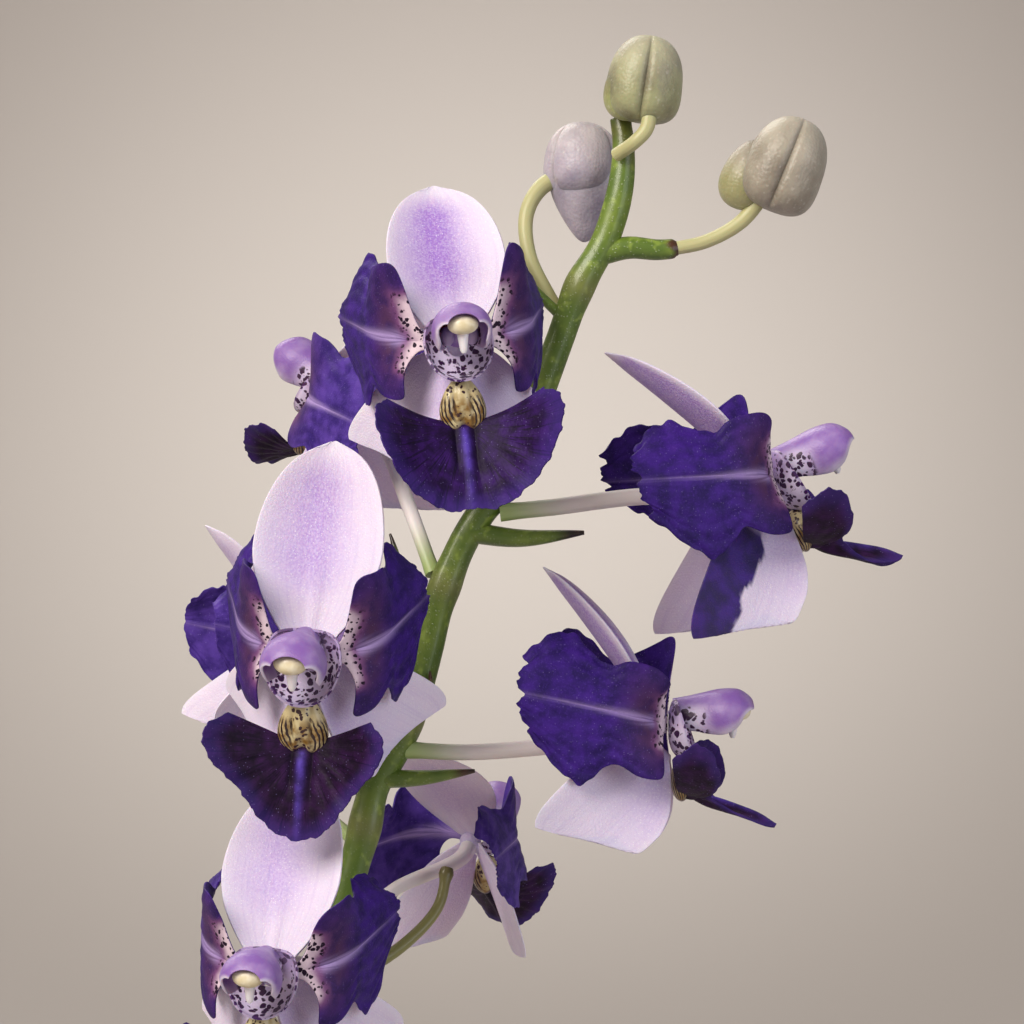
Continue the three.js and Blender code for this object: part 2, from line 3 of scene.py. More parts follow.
import bpy
import numpy as np
from bpy.props import FloatProperty, FloatVectorProperty, PointerProperty
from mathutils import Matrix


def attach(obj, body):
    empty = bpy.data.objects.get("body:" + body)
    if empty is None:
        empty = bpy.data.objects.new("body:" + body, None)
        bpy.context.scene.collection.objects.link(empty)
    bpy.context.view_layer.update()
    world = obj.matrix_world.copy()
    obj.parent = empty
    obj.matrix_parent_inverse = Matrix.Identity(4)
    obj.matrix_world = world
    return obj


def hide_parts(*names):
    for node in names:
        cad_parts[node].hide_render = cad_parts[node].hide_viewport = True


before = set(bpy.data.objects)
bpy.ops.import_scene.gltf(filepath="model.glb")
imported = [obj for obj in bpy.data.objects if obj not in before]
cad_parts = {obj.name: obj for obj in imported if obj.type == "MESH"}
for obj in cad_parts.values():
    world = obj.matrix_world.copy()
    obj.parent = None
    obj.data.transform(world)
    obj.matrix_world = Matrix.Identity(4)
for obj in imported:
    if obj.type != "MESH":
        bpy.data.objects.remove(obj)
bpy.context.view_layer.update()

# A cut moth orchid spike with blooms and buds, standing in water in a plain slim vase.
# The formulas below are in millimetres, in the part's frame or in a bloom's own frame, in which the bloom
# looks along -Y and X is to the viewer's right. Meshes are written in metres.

bl_info = {
    "name": "Moth orchid in vase",
    "version": (1, 0, 0),
    "blender": (4, 5, 0),
    "location": "View3D > Sidebar > Orchid",
    "description": "Builds the fine surfaces of a moth orchid spike in a vase over its solids",
    "category": "Object",
}

MM = 0.001

# Sizes of the bloom's pieces. "half" is a half-width or the half-sizes, "skew" a shift sideways, "cup" and
# "bend" the curl across and along, and "slant" the lean of the tip. A petal sweeps back over its share
# "turn" and climbs by its "rise". The lip's claw stands at "forward" and "below", its "wings" and "fold"
# curve it across and along, and its "span" is the fan's half-angle. The hood's tilt and half-arc are
# in degrees.

DORSAL = {"length": 27.0, "half": 8.3, "skew": 0.0, "cup": 2.6, "bend": 1.4, "slant": 0.0}
LATERAL = {"length": 20.0, "half": 7.5, "skew": -3.3, "cup": 1.4, "bend": 1.2, "slant": 0.22}
PETAL = {"length": 25.5, "turn": 0.5, "rise": 0.2}
LIP = {"forward": -1.5, "below": -9.2, "wings": 0.056, "fold": 0.012, "span": 98.0}
CALLUS = {"top": -4.1, "wide": 3.7, "thick": 1.7, "dent": 0.5}
HOOD = {"length": 12.3, "tilt": 10.0, "arc": 125.0}
HUB = {"at": (0, 2.9, -0.3), "half": (1.9, 1.6, 2.1)}
EAR = {"at": (1.7, -3.9, 1.2), "half": (1.0, 1.9, 1.4)}
CAP = {"at": (0, -9.9, 2.5), "half": (2.15, 1.3, 1.35)}
CORE = [(0, 0, 1), (0, -3.4, 2.4), (0, -6.6, 3.3)]
BEAK = [(0, -6.4, 3.1), (0, -8.6, 1.4), (0, -8.7, -1.4)]

# How finely each piece is cut: rows and columns of a sheet, rings and sides of a ball, or sides and steps
# of a bar

FINE = {
    "upper sepal": (46, 36), "lower sepal": (46, 32), "stained sepal": (46, 56), "petal": (72, 52),
    "lip": (36, 132), "bowl": (16, 64), "hood": (44, 44),
    "hub": (12, 20), "callus": (28, 44), "ear": (14, 24), "cap": (20, 32), "bud": (40, 84),
    "keel": (28, 40), "stalk": (16, 48), "core": (16, 12), "beak": (14, 14), "spike": (32, 420),
    "branch": (24, 40), "spent stalk": (16, 60), "bract": (20, 40),
}

# Half-widths at equal steps from root to tip, the lip's reach from its left wing to its right one, and the
# bowl's radius from its foot to its rim

SEPAL_ROOT = [0.36, 0.56, 0.74, 0.88, 0.96, 1.0]
PETAL_UP = [1.0, 1.9, 7.3, 9.8, 8.4, 6.4, 8.0, 9.9, 9.4, 7.8, 5.4]
PETAL_DOWN = [1.0, 1.3, 4.0, 7.8, 8.6, 7.4, 10.2, 11.2, 9.8, 7.8, 5.4]
LIP_REACH = [10.9, 13.0, 13.7, 13.9, 13.8, 13.2, 12.5, 13.2, 13.8, 13.9, 13.7, 13.0, 10.9]
HOOD_WIDTH = [2.2, 2.5, 3.1, 3.9, 3.8, 3.2]
HOOD_RISE = [3.5, 3.5, 3.6, 3.7, 3.4, 2.6]
HOOD_DROP = [1.6, 2.2, 3.6, 4.3, 3.0, 1.2]
BOWL_RADIUS = [1.5, 2.9, 3.9, 4.5, 4.75]

# Each bloom: its column's foot, where it looks (yaw from -Y towards +X, pitch down, roll to its own
# right) and its size. Its lip: "dip" in degrees, "heart" for how pointed it is, "fan" for its reach,
# "pinch" between its wings and its middle lobe, and "hang" of that lobe's sides. Its petals: "spread" for
# their length, "lobe" for the root lobes, "saddle" between the upper lobe and the "horn" at the outer top,
# "tail" at the outer foot, "teeth" of the edge, and "sweep" back in degrees. Its lower sepals: "low" for
# their length, "drop" and "twist" in degrees. Its upper sepal: "lilac" heart and "blush" of its sides. Its
# "seed" for waves, and its stalk's way from the spike. Pairs are left and right.

PLAIN_BLOOM = {
    "roll": 0, "size": 1.0, "heart": 0.3, "fan": 1.0, "pinch": 0.0, "hang": 0.0, "spread": 1.0,
    "lobe": (1, 1), "saddle": 0.0, "horn": 1.0, "tail": (1, 1), "teeth": 1.0, "sweep": (78, 78),
    "low": 1.0, "drop": 0, "twist": (0, 0), "lilac": 1.0, "blush": 0.0,
}

BACK_BLOOMS = ("bloom_6", "bloom_7", "bloom_8")
VIOLET_LIPS = ("bloom_1",)
STAINED_BLOOM = "bloom_4"

BLOOMS = [{**PLAIN_BLOOM, **bloom} for bloom in (
    {"name": "bloom_1", "at": (22.7, -27, 326.3), "yaw": 6, "pitch": 0, "roll": -4, "dip": 62,
     "heart": 0.0, "lobe": (1.05, 1.25), "saddle": 1.6, "sweep": (78, 77), "seed": 1,
     "stalk": [(31.4, -2.6, 315.5), (27, -10, 318), (23.4, -19, 323)]},
    {"name": "bloom_2", "at": (1.9, -32, 283), "yaw": -10, "pitch": 17, "roll": 4, "size": 1.1, "dip": 66,
     "heart": 1.0, "spread": 0.78, "saddle": 1.6, "horn": 0.9, "sweep": (70.5, 74), "lilac": 0.75,
     "seed": 2,
     "stalk": [(15.6, -2.8, 278.4), (10, -9, 281), (4, -19, 283)]},
    {"name": "bloom_3", "at": (-3.6, -30, 239.2), "yaw": -13, "pitch": 12, "roll": 4, "size": 1.02,
     "dip": 60, "heart": 0.6, "spread": 0.93, "lobe": (0.9, 0.8), "saddle": 1.0, "horn": 0.72,
     "sweep": (76, 77), "lilac": 0.6, "seed": 3,
     "stalk": [(3.2, -2.8, 236.4), (2, -9, 238.5), (-1, -17, 240)]},
    {"name": "bloom_4", "at": (67.9, 0, 307.7), "yaw": 98, "pitch": -15, "size": 1.04, "dip": 12,
     "fan": 0.93, "pinch": 0.45, "hang": 1.8, "lobe": (0.8, 1.15), "horn": 0.8, "tail": (1, 0.6),
     "sweep": (77, 78), "low": 1.14, "drop": 11, "blush": 0.7, "seed": 4,
     "stalk": [(29.9, -0.4, 303.2), (36, -0.6, 303.8), (50, -0.2, 305.4)]},
    {"name": "bloom_5", "at": (53.1, 0, 272.3), "yaw": 86, "pitch": 0, "dip": 8, "fan": 0.93, "pinch": 0.5,
     "hang": 1.1, "lobe": (0.6, 1.2), "drop": 6, "blush": 0.7, "seed": 5,
     "stalk": [(16.4, -0.4, 269.1), (24, -0.7, 268.8), (35, -0.8, 269.6)]},
    {"name": "bloom_6", "at": (25.2, 30, 255.6), "yaw": 153, "pitch": -22, "size": 0.87, "dip": 58,
     "heart": 0.5, "fan": 0.8, "horn": 0.8, "sweep": (77.6, 77.5), "drop": 9, "twist": (-12, 0),
     "lilac": 0.5, "seed": 6,
     "stalk": [(6.9, 2.5, 244), (9, 7, 245), (13.4, 14, 248.5)]},
    {"name": "bloom_7", "at": (3.8, 18, 320.3), "yaw": -130, "pitch": -26, "roll": 5, "size": 0.92,
     "dip": 34, "heart": 0.2, "fan": 0.74, "saddle": 2.6, "sweep": (78, 77), "lilac": 0.4, "seed": 7,
     "stalk": [(18.6, 1.8, 295.4), (15.4, 6, 304), (11.6, 12, 313)]},
    {"name": "bloom_8", "at": (-0.4, 26, 282.8), "yaw": 105, "pitch": 0, "size": 0.8, "dip": 30,
     "fan": 0.75, "spread": 0.93, "horn": 0.8, "teeth": 0.3, "sweep": (78, 77.5), "lilac": 0.5, "seed": 8,
     "stalk": [(6.9, 1.9, 256.9), (1.6, 7.6, 261.6), (-5, 17, 272)]},
)]

SPIKE = [
    (0, 0, 5.3), (0, 0, 60), (0, 0, 110), (0, 0, 150), (0.5, 0, 180), (1.4, 0, 206), (3, 0, 230),
    (6.4, 0, 247.7), (8.9, 0, 256.6), (10.7, 0, 264), (13.6, 0, 269.2), (16.4, 0, 276.4), (18.3, 0, 283.4),
    (20, 0, 290.6), (23.1, 0, 298.4), (25.7, 0, 302.8), (29.3, 0, 307.8), (32.4, 0, 315), (35, 0, 322),
    (37.1, 0, 327.8), (40, 0, 335.6), (43.6, 0, 342), (45.8, 0, 349.6), (46.2, 0.6, 355.6),
    (45.8, 1.4, 359.3),
]
SPIKE_HALF = {"cut": 2.7, "middle": 2.25, "top": 1.95}
JOINTS = [0.47, 0.57, 0.655, 0.7, 0.745, 0.8, 0.845, 0.93]
BRACTS = [
    {"way": [(24.4, 0, 300.2), (31.6, -0.4, 299.4), (40.6, -0.8, 300.2)], "radius": 2.0},
    {"way": [(10.4, 0, 265), (17.4, -0.6, 265.2), (25, -1, 266.2)], "radius": 1.8},
    {"way": [(19.5, 0, 290), (15.2, 2, 293.6), (12.8, 3.4, 300)], "radius": 1.2},
    {"way": [(36.9, 0, 331.5), (33.2, 0.6, 335.4), (30.6, 1.2, 340.2)], "radius": 1.0},
    {"way": [(15.6, 0, 275), (18.6, -1.6, 276.6), (18.6, -3, 280.4)], "radius": 1.0},
    {"way": [(1, 0, 203), (4.8, 0.4, 206), (5.4, 0.6, 212.6)], "radius": 1.2},
    {"way": [(0, 0, 168), (-4.2, -0.4, 171), (-4.6, -0.8, 177.4)], "radius": 1.2},
]
BRANCH = [(42.6, 0, 340), (47, 0, 340.9), (51, 0, 340.6), (54, 0, 340.8)]
SPENT_STALK = [(3.6, 1, 237), (9, 4, 237.6), (15, 9, 241), (19.6, 13, 246), (20.9, 15, 251.4)]

# Each bud: its middle, lean, radius and half height, and where its first groove stands. Its keel, which is
# the chin of its lower sepals: middle, half-sizes, taper and how green it is. How square its foot is, its
# stalk's way, and the two tones of its skin.

BUDS = [
    {"name": "bud_top", "at": (49.3, -1, 364.9), "lean": (0.16, 0, 1), "radius": 5.4, "tall": 6.3,
     "seam": 0.25, "keel": (46.8, -1.6, 363.2), "keel_size": (3.4, 3.4, 4.3), "taper": -0.05,
     "green": 1.0, "foot": 3.2,
     "stalk": [(46, -2.6, 354.6), (47.8, -4.4, 355.8), (49.4, -4.5, 357.6), (49.8, -3.9, 360),
               (49.4, -2, 363.4)],
     "skin": ("#9b9c75", "#77735a")},
    {"name": "bud_right", "at": (69.4, 0, 352.8), "lean": (0.42, 0, 1), "radius": 5.7, "tall": 7.0,
     "seam": 0.25, "keel": (64, 0.8, 351.4), "keel_size": (3.6, 3.4, 5.2), "taper": -0.15,
     "green": 1.0, "foot": 3.2,
     "stalk": [(53.8, 0, 340.9), (58, 0, 341.8), (63, 0, 344.6), (66, 0, 348.4), (68, 0, 352)],
     "skin": ("#9d9587", "#80776a")},
    {"name": "bud_left", "at": (40.4, 8.6, 353.8), "lean": (0.05, 0.1, 1), "radius": 5.5, "tall": 5.6,
     "seam": 0.75, "keel": (41, 8.8, 348.3), "keel_size": (4.9, 4.4, 6.3), "taper": 0.55,
     "green": 0.0, "foot": 2.5,
     "stalk": [(36, 2.1, 333.4), (32.8, 4, 340), (32.4, 6, 346), (34.4, 7.4, 349.8), (38, 8.2, 352)],
     "skin": ("#b6adbc", "#938a9f")},
]

VASE = {
    "foot": 30.0, "belly": 37.0, "neck": 11.5, "flare": 16.0, "height": 140.0, "wall": 3.0, "floor": 5.0,
}

# The middle of the pool of light painted on the backdrop wall, its lightest place, in metres

WALL_PAINTED_LIGHT_MIDDLE = (0.03, 1.6, 0.335)

# Tones that no setting changes

TONES = {
    "petal grain": "#5133a0", "petal rust": "#4c2c48", "petal band edge": "#7c4c7c",
    "petal band": "#e2cedc", "petal spot": "#1d0624", "petal painted glint": "#b9a9ee", "sepal rim": "#ece6f2",
    "sepal painted glint": "#ffffff", "lip vein": "#10041c", "lip furrow shade": "#0b0312", "lip painted glint": "#a79ae6",
    "callus stripe": "#24101a", "callus spot": "#32121f", "column spot": "#320c3c",
    "column rim": "#4c1f7c", "column beak": "#f0ebf2", "cap cream": "#efe7cf", "cap shade": "#ddcfa8",
    "cap top": "#cbb7c9", "stem joint": "#8a8052", "stem bead highlight": "#e8f2cf",
    "bract rust, dark": "#1d0f0a", "bract rust": "#4a2a1a", "bud top": "#ece6d6",
    "bud groove shade": "#5c5248", "bud keel": "#a8aa62", "bud fleck": "#f6f2e6", "glaze cloud": "#d9d0bd",
    "glaze speck": "#7d6a52", "clay cloud": "#a9835f", "water swirl": "#f2f8f6", "room": "#cfc8be",
}

# Numbers, lines and places


def tint(code):
    """A colour written as #rrggbb, as linear red, green and blue."""
    shares = [int(code[i:i + 2], 16) / 255 for i in (1, 3, 5)]
    return tuple(s / 12.92 if s <= 0.04045 else ((s + 0.055) / 1.055) ** 2.4 for s in shares)


def tone(name):
    """A tone of TONES, as linear red, green and blue."""
    return tint(TONES[name])


def hump(x, centre, width):
    """A smooth rise of 1 at centre that has gone a width or two away."""
    return np.exp(-((x - centre) / width) ** 2)


def ramp(x, low, high):
    """0 up to low, 1 from high on, and a smooth S between them."""
    share = np.clip((x - low) / (high - low), 0, 1)
    return share * share * (3 - 2 * share)


def smooth(values, t):
    """A smooth line through values that stand at equal steps of t from 0 to 1."""
    v = np.asarray(values, float)
    last = len(v) - 1
    place = np.clip(t, 0, 1) * last
    i = np.minimum(place.astype(int), last - 1)
    f = place - i
    slope = (v[np.minimum(np.arange(last + 1) + 1, last)] - v[np.maximum(np.arange(last + 1) - 1, 0)]) / 2
    return ((2 * f**3 - 3 * f**2 + 1) * v[i] + (f**3 - 2 * f**2 + f) * slope[i]
            + (3 * f**2 - 2 * f**3) * v[i + 1] + (f**3 - f**2) * slope[i + 1])


def curve(points, count):
    """A smooth line in space through the points, cut into count equal steps of its length."""
    p = np.asarray(points, float)
    knots = np.concatenate([[0], np.cumsum(np.linalg.norm(np.diff(p, axis=0), axis=1) ** 0.5)])
    slope = np.gradient(p, knots, axis=0)
    u = np.linspace(0, knots[-1], 40 * len(p))
    i = np.clip(np.searchsorted(knots, u, side="right") - 1, 0, len(p) - 2)
    h = (knots[i + 1] - knots[i])[:, None]
    f = (u[:, None] - knots[i][:, None]) / h
    fine = ((2 * f**3 - 3 * f**2 + 1) * p[i] + (f**3 - 2 * f**2 + f) * h * slope[i]
            + (3 * f**2 - 2 * f**3) * p[i + 1] + (f**3 - f**2) * h * slope[i + 1])
    run = np.concatenate([[0], np.cumsum(np.linalg.norm(np.diff(fine, axis=0), axis=1))])
    want = np.linspace(0, run[-1], count + 1)
    return np.stack([np.interp(want, run, fine[:, k]) for k in range(3)], axis=-1)


def unit(v):
    """The same direction at length 1, for one vector or an array of them."""
    v = np.asarray(v, float)
    return v / np.maximum(np.linalg.norm(v, axis=-1, keepdims=True), 1e-9)


def turned(x=0.0, y=0.0, z=0.0):
    """The matrix that turns about Y, then X, then Z, by degrees."""
    a, b, c = (math.radians(v) for v in (x, y, z))
    about_x = np.array([[1, 0, 0], [0, math.cos(a), -math.sin(a)], [0, math.sin(a), math.cos(a)]])
    about_y = np.array([[math.cos(b), 0, math.sin(b)], [0, 1, 0], [-math.sin(b), 0, math.cos(b)]])
    about_z = np.array([[math.cos(c), -math.sin(c), 0], [math.sin(c), math.cos(c), 0], [0, 0, 1]])
    return about_z @ about_x @ about_y


class Place:
    """Where a bloom stands: its frame's turn, scale and origin in the part's frame."""

    def __init__(self, bloom):
        self.turn = turned(bloom["pitch"], bloom["roll"], bloom["yaw"])
        self.size = bloom["size"]
        self.at = np.asarray(bloom["at"], float)

    def out(self, points):
        """From the bloom's frame to the part's."""
        return self.at + self.size * points @ self.turn.T

    def home(self, points):
        """From the part's frame to the bloom's."""
        return (np.asarray(points, float) - self.at) @ self.turn / self.size


# Surfaces


class Skin:
    """Collects the surfaces of one piece. Each vertex carries a place on its sheet and four marks, which
    are shares from 0 to 1 that its material reads."""

    def __init__(self):
        self.points, self.quads, self.corners, self.marks, self.sheet = [], [], [], [], []
        self.quad_slots, self.corner_slots = [], []
        self.count = 0

    def add(self, points, quads, corners, sheet, marks, slot=0):
        """Takes vertices, four-sided and three-sided faces, the sheet's coordinates and the marks."""
        n = len(points)
        self.points.append(points)
        self.quads.append(np.asarray(quads, int).reshape(-1, 4) + self.count)
        self.corners.append(np.asarray(corners, int).reshape(-1, 3) + self.count)
        self.quad_slots.append(np.full(len(self.quads[-1]), slot))
        self.corner_slots.append(np.full(len(self.corners[-1]), slot))
        self.sheet.append(np.broadcast_to(sheet, (n, 2)))
        self.marks.append(np.broadcast_to(marks, (n, 4)))
        self.count += n

    def mesh(self, name, place=None):
        """Writes the mesh in metres, with its UV map and its marks, smooth but for its sharp edges."""
        points = np.concatenate(self.points)
        if place is not None:
            points = place.out(points)
        quads, corners = np.concatenate(self.quads), np.concatenate(self.corners)
        loops = np.concatenate([quads.ravel(), corners.ravel()])
        starts = np.concatenate([np.arange(len(quads)) * 4, len(quads) * 4 + np.arange(len(corners)) * 3])
        mesh = bpy.data.meshes.new(name)
        mesh.vertices.add(len(points))
        mesh.vertices.foreach_set("co", (points * MM).ravel())
        mesh.loops.add(len(loops))
        mesh.loops.foreach_set("vertex_index", loops)
        mesh.polygons.add(len(starts))
        mesh.polygons.foreach_set("loop_start", starts)
        mesh.polygons.foreach_set("material_index", np.concatenate(self.quad_slots + self.corner_slots))
        mesh.update(calc_edges=True)
        mesh.uv_layers.new(name="sheet").data.foreach_set("uv", np.concatenate(self.sheet)[loops].ravel())
        marks = mesh.attributes.new("marks", "FLOAT_COLOR", "POINT")
        marks.data.foreach_set("color", np.clip(np.concatenate(self.marks), 0, 1).ravel())
        mesh.polygons.foreach_set("use_smooth", np.ones(len(starts), bool))
        mesh.set_sharp_from_angle(angle=math.radians(55))
        return mesh


def four_marks(marks, first, second):
    """The marks of a grid as a row of four for each vertex. The ones that marks doesn't give are 0."""
    return np.stack(np.broadcast_arrays(*marks(first, second), first * 0.0), -1)[..., :4].reshape(-1, 4)


def no_marks(first, second):
    """No marks at all."""
    return 0, 0, 0


def tube_faces(rings, sides):
    """The faces of a closed tube: four-sided ones from ring to ring, and a fan of three-sided ones to the
    pole at either end. The two poles' vertices follow those of the rings."""
    ids = np.arange(rings * sides).reshape(rings, sides)
    following = np.roll(ids, -1, axis=1)
    quads = np.stack([ids[:-1], following[:-1], following[1:], ids[1:]], -1).reshape(-1, 4)
    low, high = np.full(sides, ids.size), np.full(sides, ids.size + 1)
    fans = [np.stack([low, following[0], ids[0]], -1), np.stack([high, ids[-1], following[-1]], -1)]
    return quads, np.concatenate(fans)


def round_sheet(around, along):
    """The sheet's coordinates of a tube from its angle and its way along, and those of its two poles."""
    return np.concatenate([np.stack([around / (2 * np.pi), along], -1).reshape(-1, 2), [[0, 0], [0, 1]]])


def blade(skin, surface, rows, columns, thick, marks, front=1, slot=0, ring=False):
    """A thin closed sheet. surface(t, c) is its middle, t from 0 to 1 and c from -1 to 1. Both faces stand
    half the thickness off along the normal, and the sheet thins towards its sides and its tip. A ring's
    last column of c runs on into its first, so it has no sides. The fourth mark is 1 on the front face."""
    t, c = np.meshgrid(rows, columns, indexing="ij")
    middle = surface(t, c)
    if ring:
        across = (np.roll(middle, -1, axis=1) - np.roll(middle, 1, axis=1)) / 2
        taper = 1 - 0.5 * ramp(t, 0.8, 1)
    else:
        across = np.gradient(middle, axis=1)
        taper = (0.4 + 0.6 * np.sqrt(np.clip(1 - np.abs(c) ** 6, 0, 1))) * (1 - 0.55 * ramp(t, 0.82, 1))
    normal = unit(np.cross(np.gradient(middle, axis=0), across))
    offset = normal * (thick / 2 * taper)[..., None]
    points = np.concatenate([(middle + offset).reshape(-1, 3), (middle - offset).reshape(-1, 3)])
    half = t.size
    ids = np.arange(half).reshape(t.shape)
    if ring:
        ids = np.concatenate([ids, ids[:, :1]], axis=1)
    root_side, tip_side = ids[:-1], ids[1:]
    upper = np.stack([root_side[:, :-1], tip_side[:, :-1], tip_side[:, 1:], root_side[:, 1:]], -1)
    upper = upper.reshape(-1, 4)
    lower = upper[:, ::-1] + half

    def rim(p, q):
        return np.stack([p, p + half, q + half, q], -1)

    rims = [rim(ids[0, 1:], ids[0, :-1]), rim(ids[-1, :-1], ids[-1, 1:])]
    if not ring:
        rims += [rim(ids[:-1, 0], ids[1:, 0]), rim(ids[1:, -1], ids[:-1, -1])]
    both = np.tile(four_marks(marks, t, c), (2, 1))
    both[:half, 3] = front > 0
    both[half:, 3] = front < 0
    sheet = np.tile(np.stack([(c + 1) / 2, t], -1).reshape(-1, 2), (2, 1))
    skin.add(points, np.concatenate([upper, lower, *rims]), [], sheet, both, slot)


def bar(skin, points, radius, sides, count, marks, squash=1.0, slot=0):
    """A round bar along a smooth line, closed at both ends. radius(t, angle) is its reach from the line.
    Its rings start from the axis that the line keeps furthest from, and squash flattens them across it."""
    way = curve(points, count)
    t = np.linspace(0, 1, count + 1)
    along = unit(np.gradient(way, axis=0))
    least = np.eye(3)[np.argmin(np.abs(along).max(axis=0))]
    normal = unit(least - along * (along @ least)[:, None])
    second = np.cross(along, normal)
    angle = np.linspace(0, 2 * np.pi, sides, endpoint=False)
    tt, aa = np.meshgrid(t, angle, indexing="ij")
    reach = radius(tt, aa)[..., None]
    ring = way[:, None] + reach * (np.cos(aa)[..., None] * normal[:, None]
                                   + squash * np.sin(aa)[..., None] * second[:, None])
    points = np.concatenate([ring.reshape(-1, 3), way[:1], way[-1:]])
    values = four_marks(marks, tt, aa)
    values = np.concatenate([values, values[:1], values[-1:]])
    skin.add(points, *tube_faces(count + 1, sides), round_sheet(aa, tt), values, slot)


def ball(skin, centre, reach, rings, sides, marks, slot=0):
    """A closed ball pulled to shape. reach(up, around) is its surface from its centre, up from -1 to 1."""
    level = -np.cos(np.pi * np.arange(1, rings) / rings)
    angle = np.linspace(0, 2 * np.pi, sides, endpoint=False)
    up, around = np.meshgrid(level, angle, indexing="ij")
    poles = [reach(np.array([[v]]), np.array([[0.0]])).reshape(-1, 3) for v in (-1.0, 1.0)]
    points = np.asarray(centre, float) + np.concatenate([reach(up, around).reshape(-1, 3), *poles])
    ends = [four_marks(marks, np.array([v]), np.array([0.0])) for v in (-1.0, 1.0)]
    values = np.concatenate([four_marks(marks, up, around), *ends])
    skin.add(points, *tube_faces(rings - 1, sides), round_sheet(around, (up + 1) / 2), values, slot)


def egg(wide, deep, tall):
    """The reach of an egg by its three half-sizes."""
    return lambda up, around: np.stack([wide * np.sqrt(1 - up**2) * np.cos(around),
                                        deep * np.sqrt(1 - up**2) * np.sin(around), tall * up], -1)


def lathe(skin, profile, sides):
    """A profile of radius and height points, from the axis to the axis, turned about Z, without marks."""
    p = np.asarray(profile, float)
    inner = p[1:-1]
    angle = np.linspace(0, 2 * np.pi, sides, endpoint=False)
    r, a = np.meshgrid(inner[:, 0], angle, indexing="ij")
    z = np.broadcast_to(inner[:, 1:], r.shape)
    body = np.stack([r * np.cos(a), r * np.sin(a), z], -1).reshape(-1, 3)
    points = np.concatenate([body, [[0, 0, p[0, 1]], [0, 0, p[-1, 1]]]])
    skin.add(points, *tube_faces(len(inner), sides), (0, 0), (0, 0, 0, 0))


def even(count):
    """Equal steps from 0 to 1."""
    return np.linspace(0, 1, count + 1)


def to_tip(count, power):
    """Steps from 0 to 1 that lie closer together towards 1, the more so the higher the power."""
    return 1 - (1 - even(count)) ** power


def packed(count):
    """Steps from -1 to 1 that lie closer together towards both ends."""
    return np.sin(np.pi / 2 * np.linspace(-1, 1, count + 1))


def rooted(way, depth=1.3):
    """The same way with its first point moved back, so that a stalk starts inside what it grows from."""
    p = np.asarray(way, float)
    return np.concatenate([[p[0] + unit(p[0] - p[1]) * depth], p[1:]])


# The bloom's pieces


def sepal_surface(root, along, across, size, point=1.95, widest=0.43):
    """A sepal runs from root along one line. Its half-width follows SEPAL_ROOT to its widest place and a
    super-ellipse of the power "point" from there to its tip. It is cupped with the square of its width and
    bent back with the square of its length. A slant leans its tip, and a skew moves it sideways."""
    a = unit(along)
    b = np.asarray(across, float)
    b = unit(b - a * (b @ a))
    forward = np.cross(b, a)

    def surface(t, c):
        root_half = smooth(SEPAL_ROOT, t / widest)
        tip_half = np.clip(1 - (np.clip(t - widest, 0, 1) / (1.006 - widest)) ** point, 0, 1) ** (1 / point)
        share = np.where(t < widest, root_half, tip_half)
        ripple = 0.12 * np.sin(9 * t + 3 * c) * np.abs(c) ** 3
        rib = 0.25 * hump(c, 0, 0.12) * (1 - t)
        lift = size["cup"] * share * c * c - size["bend"] * t * t + ripple + rib
        length = size["length"] * (t - 0.03 * t**6 * c * c + size["slant"] * t**3 * c)
        sideways = size["half"] * share * c + size["skew"] * share
        return (np.asarray(root, float) + length[..., None] * a + sideways[..., None] * b
                + lift[..., None] * forward)

    return surface


